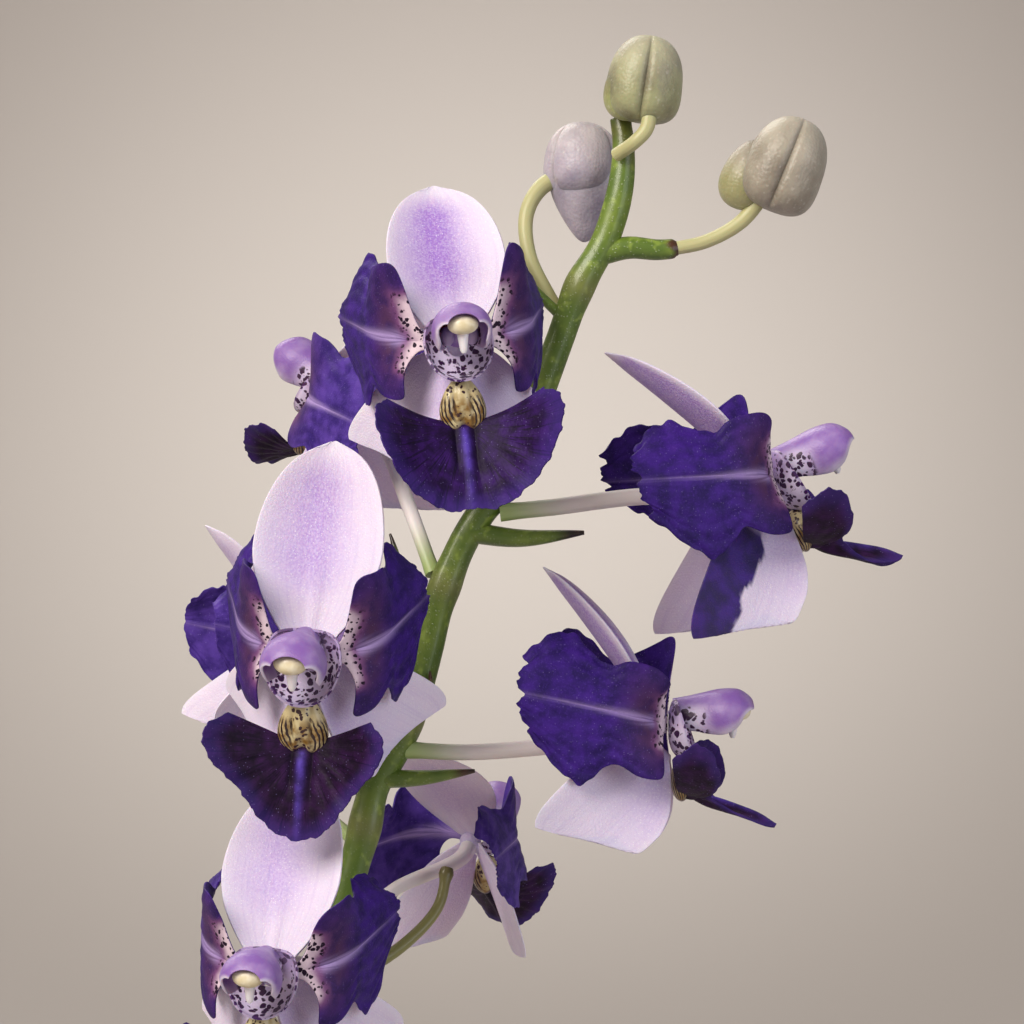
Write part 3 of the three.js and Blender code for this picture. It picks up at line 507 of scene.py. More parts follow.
def sepals(bloom, thick):
    """The upper sepal, the two lower ones, the hub behind the column, and the stalk in one skin. A lower
    sepal's line is dropped about X and its width is twisted about its line."""
    skin = Skin()
    place = Place(bloom)
    lilac = bloom["lilac"]
    crowding = 1.8

    def dorsal_marks(t, c):
        heart = lilac * hump(c, -0.14, 0.68) * ramp(t, 0.02, 0.42) * (1 - ramp(t, 0.78, 1.0))
        rim = np.maximum(ramp(np.abs(c), 0.82, 1), ramp(t, 0.9, 1))
        side = 0.16 + bloom["blush"] * (1 - 0.9 * rim)
        return np.maximum(heart, side), 0.45 * rim, 0

    rows, columns = FINE["upper sepal"]
    blade(skin, sepal_surface((0, 2.6, 1), (0, 0.54, 0.84), (1, 0, 0), DORSAL), to_tip(rows, crowding),
          packed(columns), thick, dorsal_marks, front=-1)
    drop = turned(x=-bloom["drop"])
    for side, twist in zip((-1, 1), bloom["twist"]):
        along = unit(drop @ np.array([side * 0.55, 0.64, -0.53]))
        across = drop @ np.array([side * 0.13, 0.5, 0.86])
        across = across - along * (along @ across)
        angle = math.radians(twist)
        across = across * math.cos(angle) + np.cross(along, across) * math.sin(angle)
        size = {**LATERAL, "length": LATERAL["length"] * bloom["low"], "cup": -side * LATERAL["cup"],
                "bend": -side * LATERAL["bend"]}
        stained = bloom["name"] == STAINED_BLOOM and side < 0

        def lateral_marks(t, c, stained=stained):
            edge = 0.05 + 0.07 * np.sin(11 * t) + 0.04 * np.sin(29 * t)
            stain = ramp(c - edge, -0.02, 0.02) * ramp(t, 0.2, 0.3) if stained else 0
            # The first mark is partly a real lilac tint and partly painted shade: strongest near the root,
            # weaker towards the tip and one edge
            soft = (0.16 + 0.3 * (1 - ramp(t, 0.1, 0.9))) * (1 - 0.5 * ramp(c, -0.6, 0.9))
            return soft, 0.4 * ramp(np.abs(c), 0.85, 1), stain

        rows, columns = FINE["stained sepal" if stained else "lower sepal"]
        blade(skin, sepal_surface((side * 1.1, 2.9, -1.2), along, across, size, point=5.2, widest=0.55),
              to_tip(rows, crowding), packed(columns), thick, lateral_marks, front=side)
    ball(skin, HUB["at"], egg(*HUB["half"]), *FINE["hub"], lambda up, around: (0.3, 0, 0))

    def stalk_radius(t, angle):
        return 1.15 * (1 + 0.25 * t**4 + 0.12 * hump(t, 0, 0.05) + 0.03 * np.cos(3 * angle))

    line = np.concatenate([place.home(rooted(bloom["stalk"])), [[0, 7, -1.2], [0, 3, -0.4]]])
    bar(skin, line, stalk_radius, *FINE["stalk"], lambda t, a: (1 - ramp(t, 0.0, 0.3), 0, 0), slot=1)
    return skin.mesh(bloom["name"] + "_sepals_skin", place)


def petal_surface(bloom, side):
    """A petal leaves the column sideways: its midrib's turn grows evenly to its sweep over the first half
    and then stays. Its height over and under the midrib follows PETAL_UP and PETAL_DOWN, its two root lobes
    curl forward, its blade is cupped back with the square of its height, and its outer edge is cut into
    shallow uneven teeth, which are three sines added up."""
    which = 0 if side < 0 else 1
    lobe, tail, seed = bloom["lobe"][which], bloom["tail"][which], bloom["seed"] + 2 * which
    sweep = math.radians(bloom["sweep"][which])
    whole = PETAL["length"] * bloom["spread"]
    bent = whole * PETAL["turn"]
    rate = sweep / bent

    def surface(t, c):
        edge = np.abs(c)
        upper = c > 0
        lobe_here, outer_here = hump(t, 0.26, 0.12), np.clip((t - 0.45) / 0.2, 0, 1)
        raised = np.where(upper, 1 + (lobe - 1) * lobe_here + (bloom["horn"] - 1) * outer_here,
                          1 + (tail - 1) * outer_here)
        up = smooth(PETAL_UP, t) + bloom["saddle"] * hump(t, 0.46, 0.12)
        height = np.where(upper, up, smooth(PETAL_DOWN, t)) * c * raised
        teeth = (0.42 * np.sin(8 * c + seed) + 0.3 * np.sin(15 * c + 2.3 * seed)
                 + 0.16 * np.sin(31 * c + seed)) * bloom["teeth"] * t**5
        crimp = 0.22 * np.sin(42 * t + seed) + 0.14 * np.sin(71 * t + 2 * seed)
        crimp = crimp * edge**4 * ramp(t, 0.35, 0.6)
        lean = np.where(upper, 2.4 * hump(t, 0.3, 0.12), 3.2 * hump(t, 0.34, 0.11)) * edge**3
        s = whole * t - 1.2 * c * c * t**3 + teeth - lean
        first = np.clip(s, 0, bent)
        rest = np.maximum(s - first, 0)
        angle = rate * first
        wave = 0.4 * np.sin(14 * t + seed + 2 * c) * edge**3 * np.clip((t - 0.4) / 0.2, 0, 1)
        curl = np.where(upper, 2.4, 1.6) * hump(t, 0.27, 0.13) * edge**1.6
        cup = np.where(upper, -3.4, -0.9) * np.clip((t - 0.35) / 0.35, 0, 1) * c * c
        rib = -0.28 * hump(c, 0, 0.06) * ramp(t, 0.08, 0.2) * (1 - ramp(t, 0.7, 1))
        ruck = 0.1 * np.sin(26 * c * (0.5 + t) + seed) * ramp(t, 0.2, 0.5)
        out = curl + cup + wave + rib + ruck
        return np.stack([
            side * (2.45 + np.sin(angle) / rate + rest * np.cos(sweep) + np.sin(angle) * out),
            0.95 + (1 - np.cos(angle)) / rate + rest * np.sin(sweep) - np.cos(angle) * out,
            0.3 + PETAL["rise"] * s + height + crimp * np.sign(c),
        ], -1)

    return surface


def petal_marks(t, c):
    """A petal's marks: the pale spotted bands along both root lobes' inner edges, the midrib, which is
    partly a painted highlight along its ridge, the warm root."""
    edge = np.abs(c)
    height = np.where(c > 0, smooth(PETAL_UP, t), smooth(PETAL_DOWN, t)) * edge
    inner = np.where(c > 0, 0.095 + 0.012 * height, 0.115 + 0.018 * height)
    band = 1 - ramp(t - inner, -0.03, np.where(c > 0, 0.17, 0.14))
    reach = 1 - ramp(height, np.where(c > 0, 4.6, 3.4), np.where(c > 0, 8.2, 6.6))
    pale = np.maximum(band * reach, 0.9 * (1 - ramp(t, 0.02, 0.16)))
    # The pale midrib: partly its own paler tone, partly a painted highlight along its ridge
    rib = hump(height, 0, 0.35 + 0.9 * (1 - ramp(t, 0, 0.6))) * (1 - 0.8 * ramp(t, 0.4, 0.95))
    warm = hump(t, 0.27, 0.13) * (1 - 0.7 * edge**2)
    return pale, rib, warm


def petal(bloom, side, thick):
    """One petal of a bloom, the left one for side -1 and the right one for side 1."""
    skin = Skin()
    surface = petal_surface(bloom, side)
    rows, columns = FINE["petal"]
    blade(skin, lambda t, c: surface(t, -side * c), even(rows), packed(columns), thick,
          lambda t, c: petal_marks(t, -side * c), front=-1)
    name = "left" if side < 0 else "right"
    return skin.mesh(f"{bloom['name']}_petal_{name}_skin", Place(bloom))


def lip(bloom, thick):
    """The lip is a fan round its claw. Its reach follows LIP_REACH by angle, narrowed to a heart where the
    bloom's is pointed, with a fine toothed edge. It is dipped forward, its wings rise with the square of
    the side distance, and a ridge runs down its middle between two furrows. The callus is a ball on its
    claw, pulled to a heart with a split foot and a groove down either side."""
    skin = Skin()
    down = math.radians(bloom["dip"])
    claw = LIP["below"] - 2 * math.sin(down)
    point, seed = bloom["heart"], bloom["seed"]
    span = LIP["span"] + 14 * point

    def surface(r, q):
        turn = np.radians(span * q)
        wide, pinch = np.abs(q), bloom["pinch"]
        waist = (1 - 0.27 * point * hump(wide, 0.42, 0.3) - 0.1 * point * wide
                 - pinch * hump(wide, 0.34, 0.2) + 0.5 * pinch * hump(q, 0, 0.12))
        teeth = 1 + (0.008 * np.sin(50 * q + seed) + 0.006 * np.sin(87 * q + 2 * seed)
                     + 0.004 * np.sin(139 * q)) * r**3
        radius = 0.2 + (smooth(LIP_REACH, (q + 1) / 2) * bloom["fan"] * waist * teeth - 0.2) * r
        x = radius * np.sin(turn)
        forward = radius * np.cos(turn) * np.where(np.cos(turn) < 0, 0.85, 1)
        middle = ramp(wide, 0, 0.13) * (1 - ramp(wide, 0.15, 0.34))
        lift = (LIP["wings"] * x * x - LIP["fold"] * np.maximum(forward, 0) ** 2
                - 1.3 * bloom["hang"] * middle * r)
        ridge = 0.48 * hump(x, 0, 0.55) * ramp(r, 0.05, 0.2) * (1 - 0.6 * r)
        furrow = -0.4 * hump(np.abs(x), 1.4, 0.5) * (1 - ramp(r, 0.25, 0.8))
        pleat = 0.09 * np.sin(44 * q + 0.6 * np.sin(9 * r)) * ramp(r, 0.25, 0.7)
        curl = 0.25 * np.sin(21 * q + seed) * ramp(r, 0.7, 1)
        lift = lift + ridge + furrow + pleat + curl
        return np.stack([x, LIP["forward"] - forward * math.cos(down) - lift * math.sin(down),
                         claw - forward * math.sin(down) + lift * math.cos(down)], -1)

    def fan_marks(r, q):
        x = (0.2 + 13 * r) * np.sin(np.radians(span * q))
        ridge = hump(x, 0, 0.5) * ramp(r, 0.02, 0.1) * (1 - 0.75 * r)
        # The second mark is painted shade in the two furrows beside the ridge
        dark = hump(np.abs(x), 1.5, 0.7) * (1 - ramp(r, 0.25, 0.8))
        return ridge, dark, ramp(r, 0.75, 1)

    rows, columns = FINE["lip"]
    blade(skin, surface, even(rows), even(columns) * 2 - 1, thick, fan_marks, front=1)
    tall = (CALLUS["top"] - claw + 1.2) / 2

    def heart(up, around):
        flat = np.sqrt(np.clip(1 - up * up, 0, 1))
        x = flat * np.cos(around)
        dent = CALLUS["dent"] * np.maximum(up, 0) * (1 - np.abs(x))
        dent = dent - 0.8 * hump(x, 0, 0.2) * ramp(-up, 0.3, 1)
        groove = 1 - 0.35 * hump(np.abs(x), 0.42, 0.12) * ramp(-np.sin(around), 0.2, 0.8)
        groove = groove * (1 - 0.5 * hump(x, 0, 0.16) * ramp(-up, -0.1, 0.7))
        deep = CALLUS["thick"] * flat * np.sin(around) * groove
        return np.stack([CALLUS["wide"] * x * (0.84 - 0.3 * up), deep, tall * up - dent], -1)

    def heart_marks(up, around):
        side = np.abs(np.cos(around)) * np.sqrt(np.clip(1 - up * up, 0, 1))
        return side, 1 - ramp(up, -1, -0.8), ramp(up, -0.2, 0.5)

    ball(skin, (0, LIP["forward"], CALLUS["top"] - tall), heart, *FINE["callus"], heart_marks, slot=1)
    return skin.mesh(bloom["name"] + "_lip_skin", Place(bloom))


def column(bloom, thick):
    """The column: a spotted bowl round its foot, open to the front and deepest at its underside. An arched
    hood over it, whose width, rise and drop follow HOOD_WIDTH, HOOD_RISE and HOOD_DROP and close in a
    quarter circle at its front, where the arch is narrower too. Two ears inside the hood, the column's
    thick core, and the beak that hangs from its front."""
    skin = Skin()

    def bowl(t, c):
        around = np.pi * c
        high, low = np.maximum(np.cos(around), 0), np.maximum(-np.cos(around), 0)
        corner = 0.13 * hump(np.abs(around), 0.85, 0.4)
        radius = smooth(BOWL_RADIUS, t) * (1 - 0.16 * high**2 + 0.07 * low**2 + corner)
        depth = 0.9 + 3.3 * (1 - np.cos(around)) / 2
        return np.stack([radius * np.sin(around), 0.2 - depth * t**1.6, radius * np.cos(around)], -1)

    def bowl_marks(t, c):
        return 0.42 + 0.58 * ramp(-np.cos(np.pi * c), -0.6, 0.2), ramp(t, 0.86, 0.97), 0

    rows, columns = FINE["bowl"]
    blade(skin, lambda t, c: bowl(0.02 + 0.98 * t, c), even(rows), even(columns)[:-1] * 2 - 1, thick,
          bowl_marks, front=-1, ring=True)
    tilt = math.radians(HOOD["tilt"])

    def hood(t, c):
        turn = math.radians(HOOD["arc"]) * (1 - 0.34 * ramp(t, 0.74, 1)) * c
        along = 0.8 + (HOOD["length"] - 1.2) * t
        closing = np.sqrt(np.clip(1 - (np.clip(t - 0.84, 0, 1) / 0.163) ** 2, 0, 1))
        rise = np.where(np.cos(turn) > 0, smooth(HOOD_RISE, t), smooth(HOOD_DROP, t)) * np.cos(turn)
        rise = rise * (0.5 + 0.5 * closing)
        width = smooth(HOOD_WIDTH, t) * (0.62 + 0.38 * closing)
        return np.stack([width * np.sin(turn), -along * math.cos(tilt) + rise * math.sin(tilt),
                         0.4 + along * math.sin(tilt) + rise * math.cos(tilt)], -1)

    def hood_marks(t, c):
        spotted = (1 - ramp(t, 0.2, 0.55)) * ramp(np.abs(c), 0.3, 0.6)
        return spotted, 0, 0.6 * ramp(np.abs(c), 0.8, 1) * ramp(t, 0.3, 0.7)

    rows, columns = FINE["hood"]
    blade(skin, hood, to_tip(rows, 1.5), packed(columns), thick, hood_marks, front=-1)
    bar(skin, CORE, lambda t, a: 1.5 - 0.1 * t, *FINE["core"], no_marks)
    across, back, up = EAR["at"]
    for side in (-1, 1):
        ball(skin, (across * side, back, up), egg(*EAR["half"]), *FINE["ear"], lambda u, a: (0, 0, 0.25))
    bar(skin, BEAK, lambda t, a: (1.25 - 0.8 * t) * np.where(t > 0.97, 0.6, 1), *FINE["beak"],
        lambda t, a: (0, 0, 1))
    return skin.mesh(bloom["name"] + "_column_skin", Place(bloom))


def anther_cap(bloom):
    """The anther cap: a flattened egg with a blunt snout and a shallow cleft down its front."""
    skin = Skin()
    wide, deep, tall = CAP["half"]

    def reach(up, around):
        flat = np.sqrt(np.clip(1 - up * up, 0, 1)) ** 0.9
        x = flat * np.cos(around)
        snout = 1 + 0.12 * hump(x, 0, 0.5) * ramp(-np.sin(around), 0, 1)
        cleft = 1 - 0.07 * hump(x, 0, 0.1) * ramp(-np.sin(around), 0.4, 1)
        return np.stack([wide * x, deep * flat * np.sin(around) * snout * cleft, tall * up], -1)

    ball(skin, CAP["at"], reach, *FINE["cap"], lambda up, around: (ramp(up, 0.2, 1), 0, 0))
    return skin.mesh(bloom["name"] + "_anther_cap_skin", Place(bloom))


# Buds, spike, vase and water


def bud(place):
    """A bud: a super-ellipsoid whose three grooves run from its tip to its foot, with the keel of its
    lower sepals as a smaller tapered one at its side or foot, on a curved stalk that widens into it."""
    skin = Skin()
    up_line = unit(place["lean"])
    side = unit(np.cross([0, 1, 0], up_line))
    back = np.cross(up_line, side)
    basis = np.stack([side, back, up_line])  # rows: the bud's own X, Y and Z

    def from_groove(around):
        return np.abs((around * 3 / (2 * np.pi) + place["seam"]) % 1 - 0.5)

    def reach(up, around):
        power = np.where(up < 0, place["foot"], 2.4)
        flat = np.clip(1 - np.abs(up) ** power, 0, 1) ** (1 / power)
        phase = from_groove(around)
        groove = 1 - 0.12 * hump(phase, 0, 0.04) - 0.06 * hump(phase, 0, 0.16)
        waist = 1 - 0.1 * up
        radius = place["radius"] * flat * groove * waist
        local = np.stack([radius * np.cos(around), radius * np.sin(around), place["tall"] * up], -1)
        return local @ basis

    def reach_marks(up, around):
        # The first mark is painted shade along the grooves
        return hump(from_groove(around), 0, 0.035) * (1 - np.abs(up) ** 4), ramp(up, -0.4, 0.9), 0

    ball(skin, place["at"], reach, *FINE["bud"], reach_marks)
    wide, deep, tall = place["keel_size"]

    def keel(up, around):
        flat = np.clip(1 - np.abs(up) ** 2.2, 0, 1) ** (1 / 2.2) * (1 + place["taper"] * up)
        local = np.stack([wide * flat * np.cos(around), deep * flat * np.sin(around), tall * up], -1)
        return local @ basis

    ball(skin, place["keel"], keel, *FINE["keel"],
         lambda up, around: (0, 0, place["green"] * (1 - ramp(up, -0.6, 0.6))))
    bar(skin, rooted(place["stalk"]), lambda t, a: 0.98 + 0.4 * t**3, *FINE["stalk"], no_marks, slot=1)
    return skin.mesh(place["name"] + "_skin")


def spike_radius(t, angle):
    """The spike's radius: straight lines between SPIKE_HALF at the cut, at three fifths and at the top,
    which is drawn in, with a swelling at each joint and five faint ridges."""
    cut, middle, top = SPIKE_HALF.values()
    body = np.where(t < 0.6, cut - (cut - middle) * t / 0.6, middle - (middle - top) * (t - 0.6) / 0.4)
    joints = sum(0.3 * hump(t, joint, 0.008) for joint in JOINTS)
    return body + joints - 0.45 * ramp(t, 0.96, 1) + 0.035 * np.cos(5 * angle + 9 * t)


def spike():
    """The spike with its joints, its branch, the spent stalk with its knob, and the horned bracts."""
    skin = Skin()

    def spike_marks(t, angle):
        joint = np.clip(sum(hump(t, place, 0.006) for place in JOINTS), 0, 1)
        return 0.55 * ramp(t + 0.004 * np.sin(2 * angle), 0.98, 0.99), 0.45 * joint, ramp(t, 0.55, 1)

    bar(skin, SPIKE, spike_radius, *FINE["spike"], spike_marks)
    bar(skin, BRANCH, lambda t, a: (1.75 - 0.35 * t) * (1 - 0.3 * ramp(t, 0.93, 1)), *FINE["branch"],
        lambda t, a: (ramp(t + 0.05 * np.sin(3 * a), 0.86, 0.95), 0, 0.8))
    bar(skin, SPENT_STALK, lambda t, a: 1 - 0.25 * t + 0.35 * hump(t, 0.97, 0.03), *FINE["spent stalk"],
        lambda t, a: (0.4 * ramp(t, 0.9, 1), 0.7 + 0.3 * t, 0))
    for bract in BRACTS:
        bar(skin, bract["way"],
            lambda t, a: bract["radius"] * (1 - 0.8 * t**2) * (1 + 0.06 * np.cos(2 * a)), *FINE["bract"],
            lambda t, a: (ramp(t, 0.72, 0.9), 0, 0.5), squash=0.8)
    return skin.mesh("spike_skin")


def fine_line(points, count):
    """A smooth line through radius and height points."""
    p = np.asarray([(r, 0, z) for r, z in points], float)
    return curve(p, count)[:, [0, 2]]


def vase():
    """The vase: its outside line with a low belly, a slim neck and a small flare, a rounded foot and lip,
    its inside line a wall's width in, and its floor."""
    skin = Skin()
    foot, belly, neck, flare, height, wall, floor = VASE.values()
    outside = [(foot + 2.5, 2.5), (belly - 1, 22), (belly, 38), (belly - 4, 56), (belly - 13, 76),
               (neck + 5, 94), (neck + 0.6, 112), (neck + 0.4, 124), (flare - 1.6, 135),
               (flare, height - 1)]
    inside = [(r - wall, z) for r, z in outside[1:-1]][::-1]
    outer = fine_line(outside, 90)
    inner = fine_line([(flare - 1.8, height - 0.8), *inside, (foot - 1, floor + 2)], 80)
    foot_edge = [(0, 0), (foot - 1, 0), (foot + 0.2, 0.4), (foot + 1.6, 1.6)]
    lip_edge = [(flare - 0.4, height - 0.2), (flare - 1.1, height)]
    lathe(skin, [*foot_edge, *outer, *lip_edge, *inner, (foot - 4, floor), (0, floor)], 120)
    return skin.mesh("vase_skin")


# Nodes and finishes


class Nodes:
    """Adds nodes to one tree. Each method returns the output that the next node takes."""

    def __init__(self, tree):
        self.tree = tree

    def add(self, kind, inputs=(), **settings):
        """A node of that kind with its settings, and its inputs set or linked."""
        node = self.tree.nodes.new(kind)
        for key, value in settings.items():
            setattr(node, key, value)
        for key, value in dict(inputs).items():
            self.feed(node.inputs[key], value)
        return node

    def feed(self, socket, value):
        """Links an output to a socket, or sets its value."""
        if isinstance(value, bpy.types.NodeSocket):
            self.tree.links.new(value, socket)
        elif socket.type == "RGBA":
            socket.default_value = (*value[:3], 1)
        else:
            socket.default_value = value

    def math(self, operation, a, b=0.0):
        """One sum of one or two numbers."""
        return self.add("ShaderNodeMath", {0: a, 1: b}, operation=operation).outputs[0]

    def times(self, a, b):
        """Two numbers multiplied."""
        return self.math("MULTIPLY", a, b)

    def plus(self, a, b):
        """Two numbers added."""
        return self.math("ADD", a, b)

    def minus(self, a, b):
        """The second number taken from the first."""
        return self.math("SUBTRACT", a, b)

    def above(self, a, b):
        """1 where the first number is the greater one, and 0 elsewhere."""
        return self.math("GREATER_THAN", a, b)

    def mix(self, share, a, b):
        """Two colours mixed: the first where the share is 0, the second where it is 1."""
        return self.add("ShaderNodeMix", {0: share, 6: a, 7: b}, data_type="RGBA").outputs[2]

    def part(self, colour, which=0):
        """One of the three parts of a colour, by its number."""
        return self.add("ShaderNodeSeparateColor", {0: colour}).outputs[which]

    def ramp(self, value, low, high, first=0.0, last=1.0):
        """A smooth step of a value from low to high, given as first to last."""
        return self.add("ShaderNodeMapRange", {0: value, 1: low, 2: high, 3: first, 4: last},
                        interpolation_type="SMOOTHSTEP").outputs[0]

    def place(self):
        """Object coordinates, in metres."""
        return self.add("ShaderNodeTexCoord").outputs["Object"]

    def sheet(self, across, along):
        """The place on the piece's sheet, stretched by two numbers."""
        uv = self.add("ShaderNodeUVMap", uv_map="sheet").outputs[0]
        return self.add("ShaderNodeMapping", {"Vector": uv, "Scale": (across, along, 1)}).outputs[0]

    def marks(self):
        """The four marks of the surface."""
        node = self.add("ShaderNodeAttribute", attribute_name="marks")
        parts = self.add("ShaderNodeSeparateColor", {0: node.outputs["Color"]})
        return [*parts.outputs, node.outputs["Alpha"]]

    def noise(self, place, scale, detail=2.0, rough=0.5, twist=0.0):
        """Soft cloudy noise between 0 and 1."""
        return self.add("ShaderNodeTexNoise", {"Vector": place, "Scale": scale, "Detail": detail,
                                               "Roughness": rough, "Distortion": twist}).outputs["Fac"]

    def cells(self, place, scale):
        """Round cells: the distance from the nearest cell's middle, and that cell's random colour."""
        node = self.add("ShaderNodeTexVoronoi", {"Vector": place, "Scale": scale})
        return node.outputs["Distance"], node.outputs["Color"]

    def bump(self, height, strength, distance=0.0002):
        """A bump's normal."""
        return self.add("ShaderNodeBump", {"Strength": strength, "Distance": distance,
                                           "Height": height}).outputs[0]


def finish(name, colour, roughness, normal=None, **constants):
    """Ends a material: a Principled surface with that colour, roughness, normal and plain constants.
    colour, roughness and normal are functions of the material's nodes that give an output or a value."""
    material = bpy.data.materials.new(name)
    material.use_nodes = True
    nodes = Nodes(material.node_tree)
    surface = material.node_tree.nodes["Principled BSDF"]
    nodes.feed(surface.inputs["Base Color"], colour(nodes))
    nodes.feed(surface.inputs["Roughness"], roughness(nodes) if callable(roughness) else roughness)
    if normal:
        nodes.feed(surface.inputs["Normal"], normal(nodes))
    for key, value in constants.items():
        surface.inputs[key.replace("_", " ").title().replace("Ior", "IOR")].default_value = value
    return material


def shared_group(name, inputs, outputs, build):
    """A node group made once: build fills it and gives its outputs."""
    group = bpy.data.node_groups.get(name)
    if group:
        return group
    group = bpy.data.node_groups.new(name, "ShaderNodeTree")
    for label, value in inputs.items():
        socket = group.interface.new_socket(name=label, in_out="INPUT", socket_type="NodeSocketFloat")
        socket.default_value = value
    for label in outputs:
        group.interface.new_socket(name=label, in_out="OUTPUT", socket_type="NodeSocketFloat")
    nodes = Nodes(group)
    given = nodes.add("NodeGroupInput")
    results = build(nodes, given)
    end = nodes.add("NodeGroupOutput")
    for label, value in zip(outputs, results):
        nodes.feed(end.inputs[label], value)
    return group


def cell_skin():
    """The petal's skin of small domed cells. It gives their height and a mask of the few that glint."""

    def build(nodes, given):
        distance, random = nodes.cells(nodes.place(), given.outputs["Cells per metre"])
        height = nodes.minus(1.0, distance)
        chosen = nodes.above(nodes.part(random), given.outputs["Glint above"])
        near = nodes.ramp(distance, 0.34, 0.14)
        return height, nodes.times(chosen, near)

    values = {"Cells per metre": 3600.0, "Glint above": 0.9}
    return shared_group("cell skin", values, ["Height", "Glint"], build)


def spot_pattern():
    """Small uneven spots, some run together. It gives a mask of them on Object coordinates that sway."""

    reach = (0.0012, 0.0012, 0.0012)

    def build(nodes, given):
        wobble = nodes.noise(nodes.place(), 900.0, 1.0)
        sway = nodes.add("ShaderNodeTexNoise", {"Vector": nodes.place(), "Scale": 700.0}).outputs["Color"]
        swayed = nodes.add("ShaderNodeVectorMath", {0: sway, 1: reach, 2: nodes.place()},
                           operation="MULTIPLY_ADD").outputs[0]
        distance, random = nodes.cells(swayed, given.outputs["Spots per metre"])
        share = nodes.plus(nodes.times(nodes.part(random, 1), 0.5), 0.55)
        size = nodes.times(share, given.outputs["Size"])
        size = nodes.plus(size, nodes.times(nodes.minus(wobble, 0.5), 0.4))
        return (nodes.ramp(distance, size, nodes.times(size, 0.8)),)

    return shared_group("spot pattern", {"Spots per metre": 900.0, "Size": 0.4}, ["Spots"], build)


def use(nodes, group, inputs=()):
    """Places a shared group and gives its outputs by name."""
    node = nodes.add("ShaderNodeGroup", node_tree=group)
    for key, value in dict(inputs).items():
        nodes.feed(node.inputs[key], value)
    return node.outputs


def material_once(name, build):
    """The named finish, made the first time that it is asked for."""
    name += " finish"
    return bpy.data.materials.get(name) or build(name)


def petal_finish(name, deep, light):
    """Deep violet with a pale midrib, partly a painted highlight along its ridge, a warm root, a pink
    band with near-black spots on its lobes, and glints painted in as highlights.
    """
    looks = bpy.context.scene.orchid_bloom

    def colour(nodes):
        pale, rib, warm, front = nodes.marks()
        place = nodes.place()
        cloud = nodes.noise(place, 420.0, 3.0)
        grain = nodes.noise(place, 3200.0, 2.0)
        base = nodes.mix(nodes.ramp(cloud, 0.3, 0.72), deep, light)
        base = nodes.mix(nodes.ramp(grain, 0.5, 0.75, 0.0, 0.3), base, tone("petal grain"))
        facing = nodes.above(front, 0.5)
        rust = nodes.times(warm, nodes.ramp(cloud, 0.3, 0.6, 0.35, 0.9))
        base = nodes.mix(nodes.times(rust, facing), base, tone("petal rust"))
        vein = nodes.noise(nodes.sheet(44, 2), 1.0, 2.0)
        # The pale midrib, partly a painted highlight along its ridge
        rib_and_highlight_share = nodes.times(rib, nodes.ramp(vein, 0.3, 0.6, 0.4, 0.95))
        base = nodes.mix(rib_and_highlight_share, base, looks.petal_midrib_and_highlight)
        ragged = nodes.plus(pale, nodes.times(nodes.minus(cloud, 0.5), 0.5))
        shown = nodes.times(ragged, facing)
        base = nodes.mix(nodes.ramp(shown, 0.05, 0.55, 0.0, 0.85), base, tone("petal band edge"))
        base = nodes.mix(nodes.ramp(shown, 0.4, 1.0), base, tone("petal band"))
        spots = use(nodes, spot_pattern(), {"Spots per metre": 1250.0, "Size": 0.5})["Spots"]
        base = nodes.mix(nodes.times(spots, nodes.ramp(shown, 0.25, 0.5)), base, tone("petal spot"))
        # Painted highlight: the few glinting cells are lightened in the colour
        glint = use(nodes, cell_skin())["Glint"]
        return nodes.mix(nodes.times(glint, 0.2), base, tone("petal painted glint"))

    def roughness(nodes):
        glint = use(nodes, cell_skin())["Glint"]
        return nodes.ramp(glint, 0.0, 1.0, 0.55, 0.25)

    def normal(nodes):
        return nodes.bump(use(nodes, cell_skin())["Height"], 0.35, 0.0001)

    return finish(name, colour, roughness, normal, specular_ior_level=0.2)


def sepal_finish(name):
    """Frosted white with a lilac heart, a white rim, fine lengthwise veins and glints, which are painted
    highlights. On the lower sepals the lilac heart is partly their own tint and partly painted shade. A
    marked stain is
    violet like a petal: it is one half of one lower sepal, with a wavy edge."""
    looks = bpy.context.scene.orchid_bloom

    def colour(nodes):
        heart, rim, stain = nodes.marks()[:3]
        place = nodes.place()
        cloud = nodes.noise(place, 300.0, 3.0)
        grain = nodes.noise(place, 3000.0, 2.0)
        # On the lower sepals the heart mark is partly painted shade
        heart = nodes.times(heart, nodes.ramp(cloud, 0.2, 0.7, 0.88, 1.0))
        heart = nodes.times(heart, nodes.ramp(grain, 0.35, 0.65, 0.75, 1.1))
        base = nodes.mix(heart, looks.sepal_white, looks.sepal_lilac)
        vein = nodes.noise(nodes.sheet(34, 1.6), 1.0, 1.0, 0.4, 0.3)
        base = nodes.mix(nodes.ramp(vein, 0.5, 0.68, 0.0, 0.1), base, looks.sepal_lilac)
        base = nodes.mix(nodes.times(rim, 0.8), base, tone("sepal rim"))
        deep = nodes.mix(nodes.ramp(cloud, 0.35, 0.65), looks.petal_deep, looks.petal_light)
        base = nodes.mix(stain, base, deep)
        # Painted highlight: the glinting cells are lightened towards white in the colour, except on the
        # stain
        glint = use(nodes, cell_skin(), {"Glint above": 0.72})["Glint"]
        share = nodes.ramp(stain, 0.0, 1.0, 0.6, 0.05)
        return nodes.mix(nodes.times(glint, share), base, tone("sepal painted glint"))

    def roughness(nodes):
        glint = use(nodes, cell_skin(), {"Glint above": 0.72})["Glint"]
        return nodes.ramp(glint, 0.0, 1.0, 0.5, 0.2)

    def normal(nodes):
        return nodes.bump(use(nodes, cell_skin())["Height"], 0.5, 0.00012)

    return finish(name, colour, roughness, normal, sheen_weight=0.1, specular_ior_level=0.35,
                  subsurface_weight=0.12, subsurface_scale=0.002)


